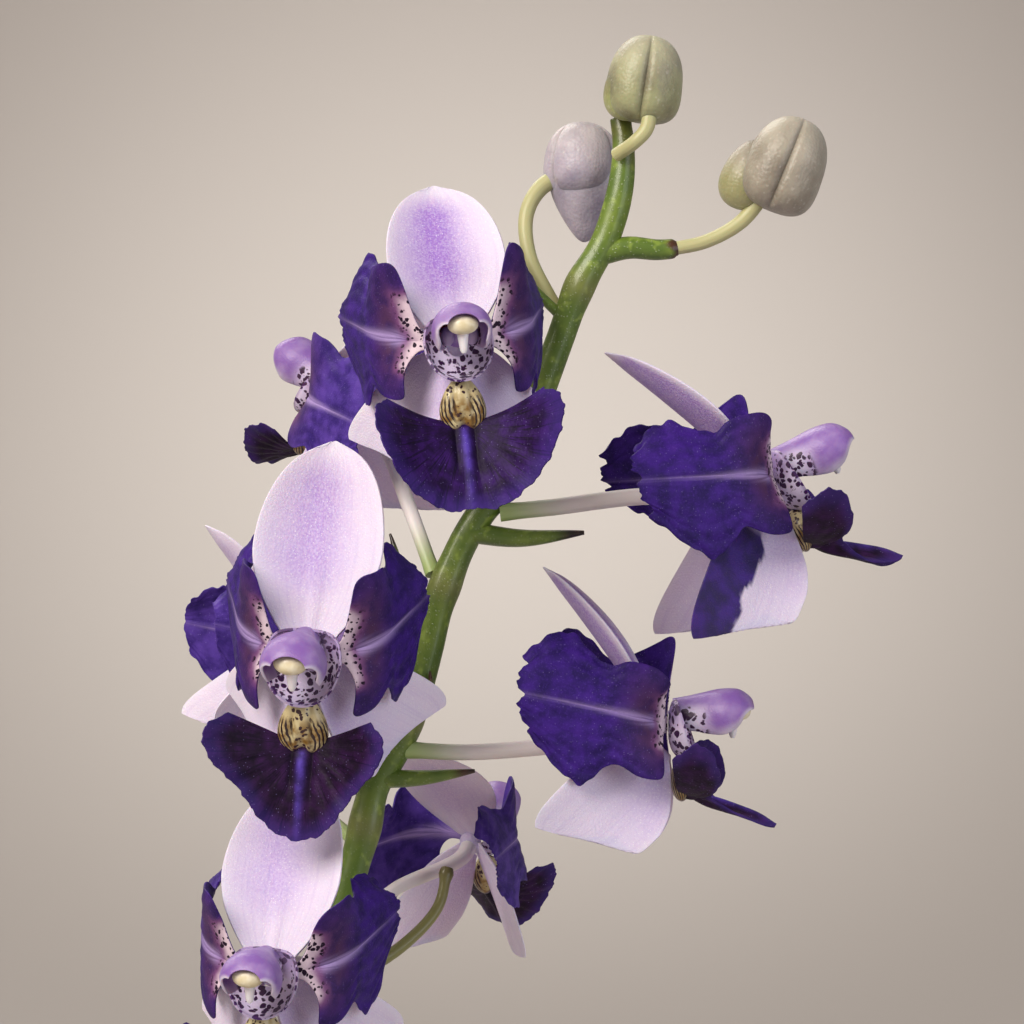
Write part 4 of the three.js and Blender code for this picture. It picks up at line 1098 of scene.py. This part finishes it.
def lip_finish(name, deep, light, ridge_tone):
    """A near-black violet or maroon with a bluish ridge between furrows darkened with painted shade, veins
    that fan out, and glints painted in as highlights.
    """

    def colour(nodes):
        ridge, furrow, edge, front = nodes.marks()
        cloud = nodes.noise(nodes.place(), 520.0, 3.0)
        base = nodes.mix(nodes.ramp(cloud, 0.3, 0.75), deep, light)
        vein = nodes.noise(nodes.sheet(130, 2.5), 1.0, 2.0)
        veined = nodes.times(nodes.ramp(vein, 0.54, 0.62, 0.0, 0.75), front)
        base = nodes.mix(veined, base, tone("lip vein"))
        # Painted shade in the furrows beside the ridge
        base = nodes.mix(nodes.times(furrow, 0.75), base, tone("lip furrow shade"))
        speckled = nodes.times(ridge, nodes.ramp(cloud, 0.3, 0.65, 0.4, 1.0))
        base = nodes.mix(speckled, base, ridge_tone)
        base = nodes.mix(nodes.times(edge, 0.25), base, ridge_tone)
        # Painted highlight: the few glinting cells are lightened in the colour
        glint = use(nodes, cell_skin(), {"Glint above": 0.88})["Glint"]
        return nodes.mix(nodes.times(glint, 0.25), base, tone("lip painted glint"))

    def normal(nodes):
        return nodes.bump(use(nodes, cell_skin(), {"Cells per metre": 2300.0})["Height"], 0.4, 0.0001)

    return finish(name, colour, 0.55, normal, specular_ior_level=0.15)


def callus_finish(name):
    """Ochre with a cream dotted top, dark slanted stripes on both its sides, and a foot in the lip's
    colour."""
    looks = bpy.context.scene.orchid_bloom

    def colour(nodes):
        side, foot, high = nodes.marks()[:3]
        place = nodes.place()
        cloud = nodes.noise(place, 800.0, 2.0)
        base = nodes.mix(nodes.ramp(cloud, 0.35, 0.7), looks.callus_ochre, looks.callus_cream)
        base = nodes.mix(nodes.times(high, 0.8), base, looks.callus_cream)
        wander = nodes.times(nodes.noise(place, 900.0, 1.0), 5.0)
        angle = nodes.add("ShaderNodeSeparateXYZ", {0: nodes.sheet(150, 20)})
        phase = nodes.plus(nodes.plus(angle.outputs[0], angle.outputs[1]), wander)
        stripe = nodes.ramp(nodes.math("SINE", phase), -0.1, 0.35)
        striped = nodes.times(nodes.ramp(side, 0.2, 0.45), nodes.ramp(high, 0.9, 0.3))
        base = nodes.mix(nodes.times(stripe, striped), base, tone("callus stripe"))
        spots = use(nodes, spot_pattern(), {"Spots per metre": 1300.0, "Size": 0.46})["Spots"]
        plain = nodes.minus(1.0, striped)
        base = nodes.mix(nodes.times(spots, plain), base, tone("callus spot"))
        return nodes.mix(nodes.times(foot, 0.9), base, looks.lip_light)

    return finish(name, colour, 0.35, lambda nodes: nodes.bump(nodes.noise(nodes.place(), 1500.0), 0.3),
                  coat_weight=0.2)


def column_finish(name):
    """Whitish lilac, spotted with purple where it is marked, with a thin dark rim and a white beak."""
    looks = bpy.context.scene.orchid_bloom

    def colour(nodes):
        spotted, rim, white = nodes.marks()[:3]
        cloud = nodes.noise(nodes.place(), 380.0, 2.0)
        base = nodes.mix(nodes.ramp(cloud, 0.35, 0.75, 0.0, 0.18), looks.column_lilac, looks.column_white)
        base = nodes.mix(nodes.times(spotted, 0.8), base, looks.column_white)
        spots = use(nodes, spot_pattern(), {"Spots per metre": 1150.0, "Size": 0.64})["Spots"]
        base = nodes.mix(nodes.times(spots, nodes.ramp(spotted, 0.25, 0.5)), base, tone("column spot"))
        base = nodes.mix(nodes.times(nodes.times(rim, spotted), 0.4), base, tone("column rim"))
        return nodes.mix(white, base, tone("column beak"))

    def normal(nodes):
        return nodes.bump(use(nodes, cell_skin())["Height"], 0.3, 0.0001)

    return finish(name, colour, 0.4, normal, subsurface_weight=0.1, subsurface_scale=0.002)


def cap_finish(name):
    """Waxy cream with a faintly lilac top."""

    def colour(nodes):
        top = nodes.marks()[0]
        cloud = nodes.noise(nodes.place(), 700.0, 2.0)
        base = nodes.mix(nodes.ramp(cloud, 0.3, 0.7), tone("cap cream"), tone("cap shade"))
        return nodes.mix(nodes.times(top, 0.4), base, tone("cap top"))

    return finish(name, colour, 0.32, lambda nodes: nodes.bump(nodes.noise(nodes.place(), 1800.0), 0.2),
                  coat_weight=0.15)


def stalk_finish(name, white, green):
    """A flower stalk: whitish at the bloom and green where it leaves the spike, with faint grooves."""

    def colour(nodes):
        low = nodes.marks()[0]
        cloud = nodes.noise(nodes.place(), 260.0, 2.0)
        base = nodes.mix(low, white, green)
        return nodes.mix(nodes.ramp(cloud, 0.45, 0.8, 0.0, 0.12), base, green)

    return finish(name, colour, 0.42, lambda nodes: nodes.bump(nodes.noise(nodes.sheet(14, 3), 1.0), 0.35),
                  subsurface_weight=0.1, subsurface_scale=0.002)


def stem_finish(name):
    """Fresh green with lime blotches, brown bract tips and, on its upper part, wet beads, glossy and
    bumped, that are lightened in colour as painted highlights.
    """
    looks = bpy.context.scene.orchid_spike

    def beads(nodes):
        distance, random = nodes.cells(nodes.place(), 2300.0)
        pick = nodes.part(random)
        return nodes.times(nodes.ramp(distance, 0.38, 0.12), nodes.above(pick, 0.5))

    def colour(nodes):
        tip, joint, wet = nodes.marks()[:3]
        place = nodes.place()
        cloud = nodes.noise(place, 150.0, 3.0, 0.6)
        base = nodes.mix(nodes.ramp(cloud, 0.38, 0.66), looks.stem_deep, looks.stem_green)
        fleck = nodes.noise(place, 480.0, 2.0)
        base = nodes.mix(nodes.ramp(fleck, 0.56, 0.7, 0.0, 0.7), base, looks.stem_lime)
        base = nodes.mix(nodes.times(joint, 0.85), base, tone("stem joint"))
        # Painted highlight: the wet beads are lightened in the colour
        base = nodes.mix(nodes.times(nodes.times(beads(nodes), wet), 0.25), base, tone("stem bead highlight"))
        rust = nodes.mix(nodes.ramp(fleck, 0.35, 0.65), tone("bract rust, dark"), tone("bract rust"))
        return nodes.mix(tip, base, rust)

    def roughness(nodes):
        wet = nodes.marks()[2]
        return nodes.ramp(nodes.times(beads(nodes), wet), 0.0, 1.0, 0.38, 0.1)

    def normal(nodes):
        wet = nodes.marks()[2]
        drops = nodes.times(beads(nodes), wet)
        grain = nodes.times(nodes.noise(nodes.place(), 900.0, 3.0), 0.5)
        return nodes.bump(nodes.plus(drops, grain), 0.5, 0.0002)

    return finish(name, colour, roughness, normal, coat_weight=0.25, coat_roughness=0.15)


def bud_finish(name, skin, shade):
    """A bud's skin: two soft tones and fine lengthwise veins, paler at its tip, darkened with painted
    shade in its grooves, and greener on its keel."""

    def colour(nodes):
        groove, high, keel = nodes.marks()[:3]
        cloud = nodes.noise(nodes.place(), 220.0, 3.0)
        base = nodes.mix(nodes.ramp(cloud, 0.35, 0.7), skin, shade)
        base = nodes.mix(nodes.times(high, 0.25), base, tone("bud top"))
        # Painted shade in the grooves
        base = nodes.mix(nodes.times(groove, 0.55), base, tone("bud groove shade"))
        base = nodes.mix(nodes.times(keel, 0.5), base, tone("bud keel"))
        fleck = nodes.noise(nodes.place(), 1400.0, 1.0)
        return nodes.mix(nodes.ramp(fleck, 0.62, 0.76, 0.0, 0.14), base, tone("bud fleck"))

    def normal(nodes):
        ribs = nodes.times(nodes.noise(nodes.sheet(50, 1.5), 1.0, 1.0), 0.8)
        cells = use(nodes, cell_skin(), {"Cells per metre": 2100.0})["Height"]
        return nodes.bump(nodes.plus(ribs, cells), 0.35, 0.00015)

    return finish(name, colour, 0.42, normal, sheen_weight=0.15, subsurface_weight=0.1,
                  subsurface_scale=0.002)


def glaze_finish(name):
    """A pale speckled glaze with faint throwing rings, over clay that stays bare round the foot."""
    looks = bpy.context.scene.orchid_vase

    def foot_line(nodes):
        place = nodes.place()
        height = nodes.add("ShaderNodeSeparateXYZ", {0: place}).outputs[2]
        wander = nodes.times(nodes.noise(place, 40.0, 2.0), 0.002)
        return nodes.ramp(nodes.plus(height, wander), 0.0035, 0.0045)

    def colour(nodes):
        place = nodes.place()
        cloud = nodes.noise(place, 28.0, 4.0, 0.6)
        glaze = nodes.mix(nodes.ramp(cloud, 0.35, 0.7), looks.glaze, tone("glaze cloud"))
        distance, random = nodes.cells(place, 420.0)
        speck = nodes.times(nodes.ramp(distance, 0.16, 0.1), nodes.above(nodes.part(random), 0.6))
        glaze = nodes.mix(nodes.times(speck, 0.5), glaze, tone("glaze speck"))
        clay = nodes.mix(nodes.noise(place, 300.0, 3.0), looks.clay, tone("clay cloud"))
        return nodes.mix(foot_line(nodes), clay, glaze)

    def roughness(nodes):
        return nodes.ramp(foot_line(nodes), 0.0, 1.0, 0.85, 0.22)

    def normal(nodes):
        flat = nodes.add("ShaderNodeMapping", {"Vector": nodes.place(), "Scale": (12, 12, 260)}).outputs[0]
        return nodes.bump(nodes.noise(flat, 1.0, 2.0), 0.15, 0.0006)

    return finish(name, colour, roughness, normal)


def water_finish(name):
    """Clear water, tinted a little, with a faint swirl in its tone."""
    looks = bpy.context.scene.orchid_vase

    def colour(nodes):
        swirl = nodes.ramp(nodes.noise(nodes.place(), 60.0), 0.3, 0.7, 0.0, 0.3)
        return nodes.mix(swirl, looks.water, tone("water swirl"))

    return finish(name, colour, 0.03, None, transmission_weight=0.9, ior=1.33)


def wall_finish(name):
    """Matt warm grey with painted light: a slow drift from a lighter middle to darker sides, a pool of
    light and painted shade on the backdrop. Its rear is clear, so that it hides nothing when the blooms are
    looked at from behind."""
    looks = bpy.context.scene.orchid_stage

    def colour(nodes):
        # Painted light and shade: the wall is lighter round its middle and darker towards its sides
        away = nodes.add("ShaderNodeVectorMath", {0: nodes.place(), 1: WALL_PAINTED_LIGHT_MIDDLE}, operation="DISTANCE")
        share = nodes.ramp(away.outputs["Value"], 0.02, 0.34)
        return nodes.mix(share, looks.wall_painted_light, looks.wall_painted_shade)

    material = finish(name, colour, 0.9)
    nodes = Nodes(material.node_tree)
    rear = nodes.add("ShaderNodeNewGeometry").outputs["Backfacing"]
    clear = nodes.add("ShaderNodeBsdfTransparent").outputs[0]
    front = material.node_tree.nodes["Principled BSDF"].outputs[0]
    sides = nodes.add("ShaderNodeMixShader", {0: rear, 1: front, 2: clear})
    nodes.feed(material.node_tree.nodes["Material Output"].inputs["Surface"], sides.outputs[0])
    return material


# Settings


def colour_setting(label, description, code):
    """A colour that the panel shows."""
    return FloatVectorProperty(name=label, description=description, subtype="COLOR", size=3, min=0, max=1,
                               default=tint(code))


def size_setting(label, description, value, low, high):
    """A length in metres that the panel shows."""
    return FloatProperty(name=label, description=description, default=value, min=low, max=high,
                         unit="LENGTH", precision=5)


class OrchidBloom(bpy.types.PropertyGroup):
    """How the blooms look."""

    petal_thick: size_setting("Petal thickness", "Thickness of a petal's middle", 0.0005, 0.0002, 0.0008)
    sepal_thick: size_setting("Sepal thickness", "Thickness of a sepal's middle", 0.0006, 0.0002, 0.0008)
    lip_thick: size_setting("Lip thickness", "Thickness of the lip's middle", 0.0005, 0.0002, 0.0008)
    petal_deep: colour_setting("Petal, deep", "The darker violet of the petals", "#231056")
    petal_light: colour_setting("Petal, light", "The lighter violet of the petals", "#3b1a80")
    back_deep: colour_setting("Back petal, deep", "The darker violet of the petals at the back", "#2f1b6c")
    back_light: colour_setting("Back petal, light", "The lighter violet of the petals at the back",
                               "#553a9c")
    # The midrib's tone is partly its own pale colour and partly a painted highlight
    petal_midrib_and_highlight: colour_setting("Petal, midrib", "The pale midrib of the petals", "#b79fdc")
    sepal_white: colour_setting("Sepal, white", "The frosted white of the sepals", "#e6dcf0")
    sepal_lilac: colour_setting("Sepal, lilac", "The lilac heart of the sepals", "#9f78cf")
    lip_deep: colour_setting("Lip, deep", "The near-black violet of the lip", "#1c0732")
    lip_light: colour_setting("Lip, light", "The lighter violet of the lip", "#35145f")
    lip_ridge: colour_setting("Lip, ridge", "The violet-blue of the lip's ridge", "#5a44b4")
    maroon_deep: colour_setting("Maroon lip, deep", "The darker maroon of the other lips", "#1a0a22")
    maroon_light: colour_setting("Maroon lip, light", "The lighter maroon of the other lips", "#341545")
    callus_ochre: colour_setting("Callus, ochre", "The ochre of the callus", "#866327")
    callus_cream: colour_setting("Callus, cream", "The cream of the callus", "#cdbf94")
    column_lilac: colour_setting("Column, lilac", "The lilac of the column's hood", "#8560ae")
    column_white: colour_setting("Column, white", "The whitish ground of the column's bowl", "#e3d8ee")


class OrchidSpike(bpy.types.PropertyGroup):
    """How the spike and its stalks look."""

    stem_green: colour_setting("Stem, green", "The main green of the spike", "#748932")
    stem_deep: colour_setting("Stem, deep", "The darker green of the spike", "#566f26")
    stem_lime: colour_setting("Stem, lime", "The lime blotches of the spike", "#8da343")
    stalk_white: colour_setting("Stalk, white", "The whitish end of the flower stalks", "#ece4e4")
    stalk_green: colour_setting("Stalk, green", "The green end of the flower stalks", "#a9bf78")
    bud_stalk: colour_setting("Bud stalk", "The yellow-green of the bud stalks", "#b7b585")


class OrchidVase(bpy.types.PropertyGroup):
    """How the vase and its water look."""

    glaze: colour_setting("Glaze", "The glaze of the vase", "#e9e3d6")
    clay: colour_setting("Clay", "The bare clay of the foot", "#b8926a")
    water: colour_setting("Water", "The tint of the water", "#cfdde0")


class OrchidStage(bpy.types.PropertyGroup):
    """The backdrop, the lights and the view."""

    # The backdrop's two tones: painted light at its middle and painted shade at its sides
    wall_painted_light: colour_setting("Wall, light", "The middle of the backdrop", "#efeae7")
    wall_painted_shade: colour_setting("Wall, dark", "The sides of the backdrop", "#b0aaa7")
    view_away: size_setting("View distance", "How far in front of the spike the camera stands", 0.9,
                            0.3, 3.0)
    view_span: size_setting("View span", "The width that the view shows at the spike", 0.14629, 0.05, 0.6)
    view_side: size_setting("View side", "How far right of the spike's foot the camera stands", 0.03029,
                            -0.5, 0.5)
    view_height: size_setting("View height", "How high the camera stands", 0.30314, 0.0, 1.0)
    key_power: FloatProperty(name="Key light", description="Power of the large soft light", default=34.0,
                             min=0, unit="POWER")
    fill_power: FloatProperty(name="Fill light", description="Power of the weak soft light", default=9.0,
                              min=0, unit="POWER")


# Operators


def stand(mesh, nodes, materials):
    """Puts a piece's mesh in the scene, in place of its CAD nodes, with its materials."""
    piece = bpy.data.objects.new(mesh.name, mesh)
    bpy.context.scene.collection.objects.link(piece)
    for material in materials:
        mesh.materials.append(material)
    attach(piece, "root")
    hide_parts(*nodes)


class ORCHID_OT_sepals(bpy.types.Operator):
    """Build each bloom's three sepals with its hub and stalk"""

    bl_idname = "orchid.sepals"
    bl_label = "Sepals and stalks"

    def execute(self, context):
        scene = context.scene
        cover = material_once("sepal", sepal_finish)
        stalk = material_once("flower stalk", lambda name: stalk_finish(
            name, scene.orchid_spike.stalk_white, scene.orchid_spike.stalk_green))
        for bloom in BLOOMS:
            mesh = sepals(bloom, scene.orchid_bloom.sepal_thick / MM)
            stand(mesh, [bloom["name"] + "_sepals"], [cover, stalk])
        return {"FINISHED"}


class ORCHID_OT_petals(bpy.types.Operator):
    """Build each bloom's two petals"""

    bl_idname = "orchid.petals"
    bl_label = "Petals"

    def execute(self, context):
        looks = context.scene.orchid_bloom
        near = material_once("petal", lambda name: petal_finish(
            name, looks.petal_deep, looks.petal_light))
        far = material_once("back petal", lambda name: petal_finish(
            name, looks.back_deep, looks.back_light))
        for bloom in BLOOMS:
            cover = far if bloom["name"] in BACK_BLOOMS else near
            for side, word in ((-1, "left"), (1, "right")):
                mesh = petal(bloom, side, looks.petal_thick / MM)
                stand(mesh, [f"{bloom['name']}_petal_{word}"], [cover])
        return {"FINISHED"}


class ORCHID_OT_lips(bpy.types.Operator):
    """Build each bloom's lip with its callus"""

    bl_idname = "orchid.lips"
    bl_label = "Lips"

    def execute(self, context):
        looks = context.scene.orchid_bloom
        violet = material_once("violet lip", lambda name: lip_finish(
            name, looks.lip_deep, looks.lip_light, looks.lip_ridge))
        maroon = material_once("maroon lip", lambda name: lip_finish(
            name, looks.maroon_deep, looks.maroon_light, looks.lip_ridge))
        callus = material_once("callus", callus_finish)
        for bloom in BLOOMS:
            cover = violet if bloom["name"] in VIOLET_LIPS else maroon
            mesh = lip(bloom, looks.lip_thick / MM)
            stand(mesh, [bloom["name"] + "_lip"], [cover, callus])
        return {"FINISHED"}


class ORCHID_OT_columns(bpy.types.Operator):
    """Build each bloom's column"""

    bl_idname = "orchid.columns"
    bl_label = "Columns"

    def execute(self, context):
        cover = material_once("column", column_finish)
        for bloom in BLOOMS:
            mesh = column(bloom, context.scene.orchid_bloom.lip_thick / MM)
            stand(mesh, [bloom["name"] + "_column"], [cover])
        return {"FINISHED"}


class ORCHID_OT_anther_caps(bpy.types.Operator):
    """Build each bloom's anther cap"""

    bl_idname = "orchid.anther_caps"
    bl_label = "Anther caps"

    def execute(self, context):
        cover = material_once("anther cap", cap_finish)
        for bloom in BLOOMS:
            stand(anther_cap(bloom), [bloom["name"] + "_anther_cap"], [cover])
        return {"FINISHED"}


class ORCHID_OT_buds(bpy.types.Operator):
    """Build the three buds on their stalks"""

    bl_idname = "orchid.buds"
    bl_label = "Buds"

    def execute(self, context):
        green = context.scene.orchid_spike.bud_stalk
        stalk = material_once("bud stalk", lambda name: stalk_finish(name, green, green))
        for place in BUDS:
            cover = material_once(place["name"].replace("_", " "),
                                  lambda name, place=place: bud_finish(name, *map(tint, place["skin"])))
            stand(bud(place), [place["name"]], [cover, stalk])
        return {"FINISHED"}


class ORCHID_OT_spike(bpy.types.Operator):
    """Build the spike with its bracts, branch and spent stalk"""

    bl_idname = "orchid.spike"
    bl_label = "Spike"

    def execute(self, context):
        stand(spike(), ["spike"], [material_once("stem", stem_finish)])
        return {"FINISHED"}


class ORCHID_OT_vase(bpy.types.Operator):
    """Build the vase"""

    bl_idname = "orchid.vase"
    bl_label = "Vase"

    def execute(self, context):
        stand(vase(), ["vase"], [material_once("glaze", glaze_finish)])
        return {"FINISHED"}


class ORCHID_OT_water(bpy.types.Operator):
    """Give the water in the vase its finish"""

    bl_idname = "orchid.water"
    bl_label = "Water"

    def execute(self, context):
        cover = material_once("water", water_finish)
        for piece_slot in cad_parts["water"].material_slots:
            piece_slot.material = cover
        return {"FINISHED"}


class ORCHID_OT_stage(bpy.types.Operator):
    """Set up the backdrop, the lights and the view"""

    bl_idname = "orchid.stage"
    bl_label = "Backdrop, lights and view"

    def execute(self, context):
        scene = context.scene
        looks = scene.orchid_stage
        self.backdrop(scene)
        middle = np.array([0.03, 0.0, 0.3])
        self.soft_light(scene, "key_light", (-0.9, -1.1, 1.25), middle, 1.1, looks.key_power, "#fff6ea")
        self.soft_light(scene, "fill_light", (1.3, -1.0, 0.5), middle, 1.4, looks.fill_power, "#eef2ff")
        self.soft_light(scene, "back_light", (-0.5, 0.9, 1.3), middle, 0.9, looks.fill_power, "#fffaf2")
        world = bpy.data.worlds.new("soft room")
        world.use_nodes = True
        scene.view_settings.view_transform = "Standard"
        ground = world.node_tree.nodes["Background"]
        ground.inputs["Color"].default_value = (*tone("room"), 1)
        ground.inputs["Strength"].default_value = 0.45
        scene.world = world
        lens = bpy.data.cameras.new("view")
        lens.angle = 2 * math.atan(looks.view_span / 2 / looks.view_away)
        lens.clip_end = 50
        camera = bpy.data.objects.new("view", lens)
        camera.location = (looks.view_side, -looks.view_away, looks.view_height)
        camera.rotation_euler = (math.pi / 2, 0, 0)
        scene.collection.objects.link(camera)
        scene.camera = camera
        return {"FINISHED"}

    def backdrop(self, scene):
        """The floor and the wall behind it: one sheet along a line that bends up with a round corner."""
        wall, corner, front, top, side = WALL_PAINTED_LIGHT_MIDDLE[1], 0.5, -2.2, 2.6, 3.0
        bend = np.linspace(0, math.pi / 2, 24)[1:]
        foot = wall - corner
        back = [np.linspace(front, foot, 12), foot + corner * np.sin(bend), np.full(8, wall)]
        up = [np.zeros(12), corner - corner * np.cos(bend), np.linspace(corner, top, 9)[1:]]
        x, y = np.meshgrid(np.linspace(-side, side, 8), np.concatenate(back))
        z = np.broadcast_to(np.concatenate(up)[:, None], x.shape)
        grid = np.stack([x, y, z], -1)
        ids = np.arange(x.size).reshape(x.shape)
        quads = np.stack([ids[:-1, :-1], ids[:-1, 1:], ids[1:, 1:], ids[1:, :-1]], -1).reshape(-1, 4)
        mesh = bpy.data.meshes.new("backdrop")
        mesh.from_pydata(grid.reshape(-1, 3).tolist(), [], quads.tolist())
        mesh.polygons.foreach_set("use_smooth", np.ones(len(quads), bool))
        mesh.materials.append(material_once("wall", wall_finish))
        sheet = bpy.data.objects.new("backdrop", mesh)
        scene.collection.objects.link(sheet)

    def soft_light(self, scene, name, place, towards, size, power, code):
        """One large soft light that faces the blooms."""
        lamp = bpy.data.lights.new(name, "AREA")
        lamp.shape, lamp.size, lamp.energy = "DISK", size, power
        lamp.color = tint(code)
        light = bpy.data.objects.new(name, lamp)
        light.location = place
        look = unit(towards - np.asarray(place))
        light.rotation_euler = (math.acos(-look[2]), 0, math.atan2(-look[0], look[1]))
        scene.collection.objects.link(light)


class ORCHID_PT_panel(bpy.types.Panel):
    """The orchid's steps and settings in the 3D view's sidebar"""

    bl_label = "Moth orchid in vase"
    bl_idname = "ORCHID_PT_panel"
    bl_space_type = "VIEW_3D"
    bl_region_type = "UI"
    bl_category = "Orchid"

    def draw(self, context):
        column_box = self.layout.column(align=True)
        for step in STEPS:
            column_box.operator(step.bl_idname)
        for settings in SETTINGS:
            box = self.layout.box()
            group = getattr(context.scene, settings)
            for key in group.__annotations__:
                box.prop(group, key)


SETTINGS = {
    "orchid_bloom": OrchidBloom,
    "orchid_spike": OrchidSpike,
    "orchid_vase": OrchidVase,
    "orchid_stage": OrchidStage,
}
STEPS = [
    ORCHID_OT_sepals, ORCHID_OT_petals, ORCHID_OT_lips, ORCHID_OT_columns, ORCHID_OT_anther_caps,
    ORCHID_OT_buds, ORCHID_OT_spike, ORCHID_OT_vase, ORCHID_OT_water, ORCHID_OT_stage,
]


def register():
    """Registers the settings, the steps and the panel."""
    for kind in [*SETTINGS.values(), *STEPS, ORCHID_PT_panel]:
        bpy.utils.register_class(kind)
    for name, kind in SETTINGS.items():
        setattr(bpy.types.Scene, name, PointerProperty(type=kind))


def unregister():
    """Takes them all away again."""
    for name in SETTINGS:
        delattr(bpy.types.Scene, name)
    for kind in [ORCHID_PT_panel, *STEPS[::-1], *list(SETTINGS.values())[::-1]]:
        bpy.utils.unregister_class(kind)


def main():
    """Builds every piece and the stage."""
    register()
    for step in STEPS:
        group, name = step.bl_idname.split(".")
        getattr(getattr(bpy.ops, group), name)()


if __name__ == "__main__":
    main()
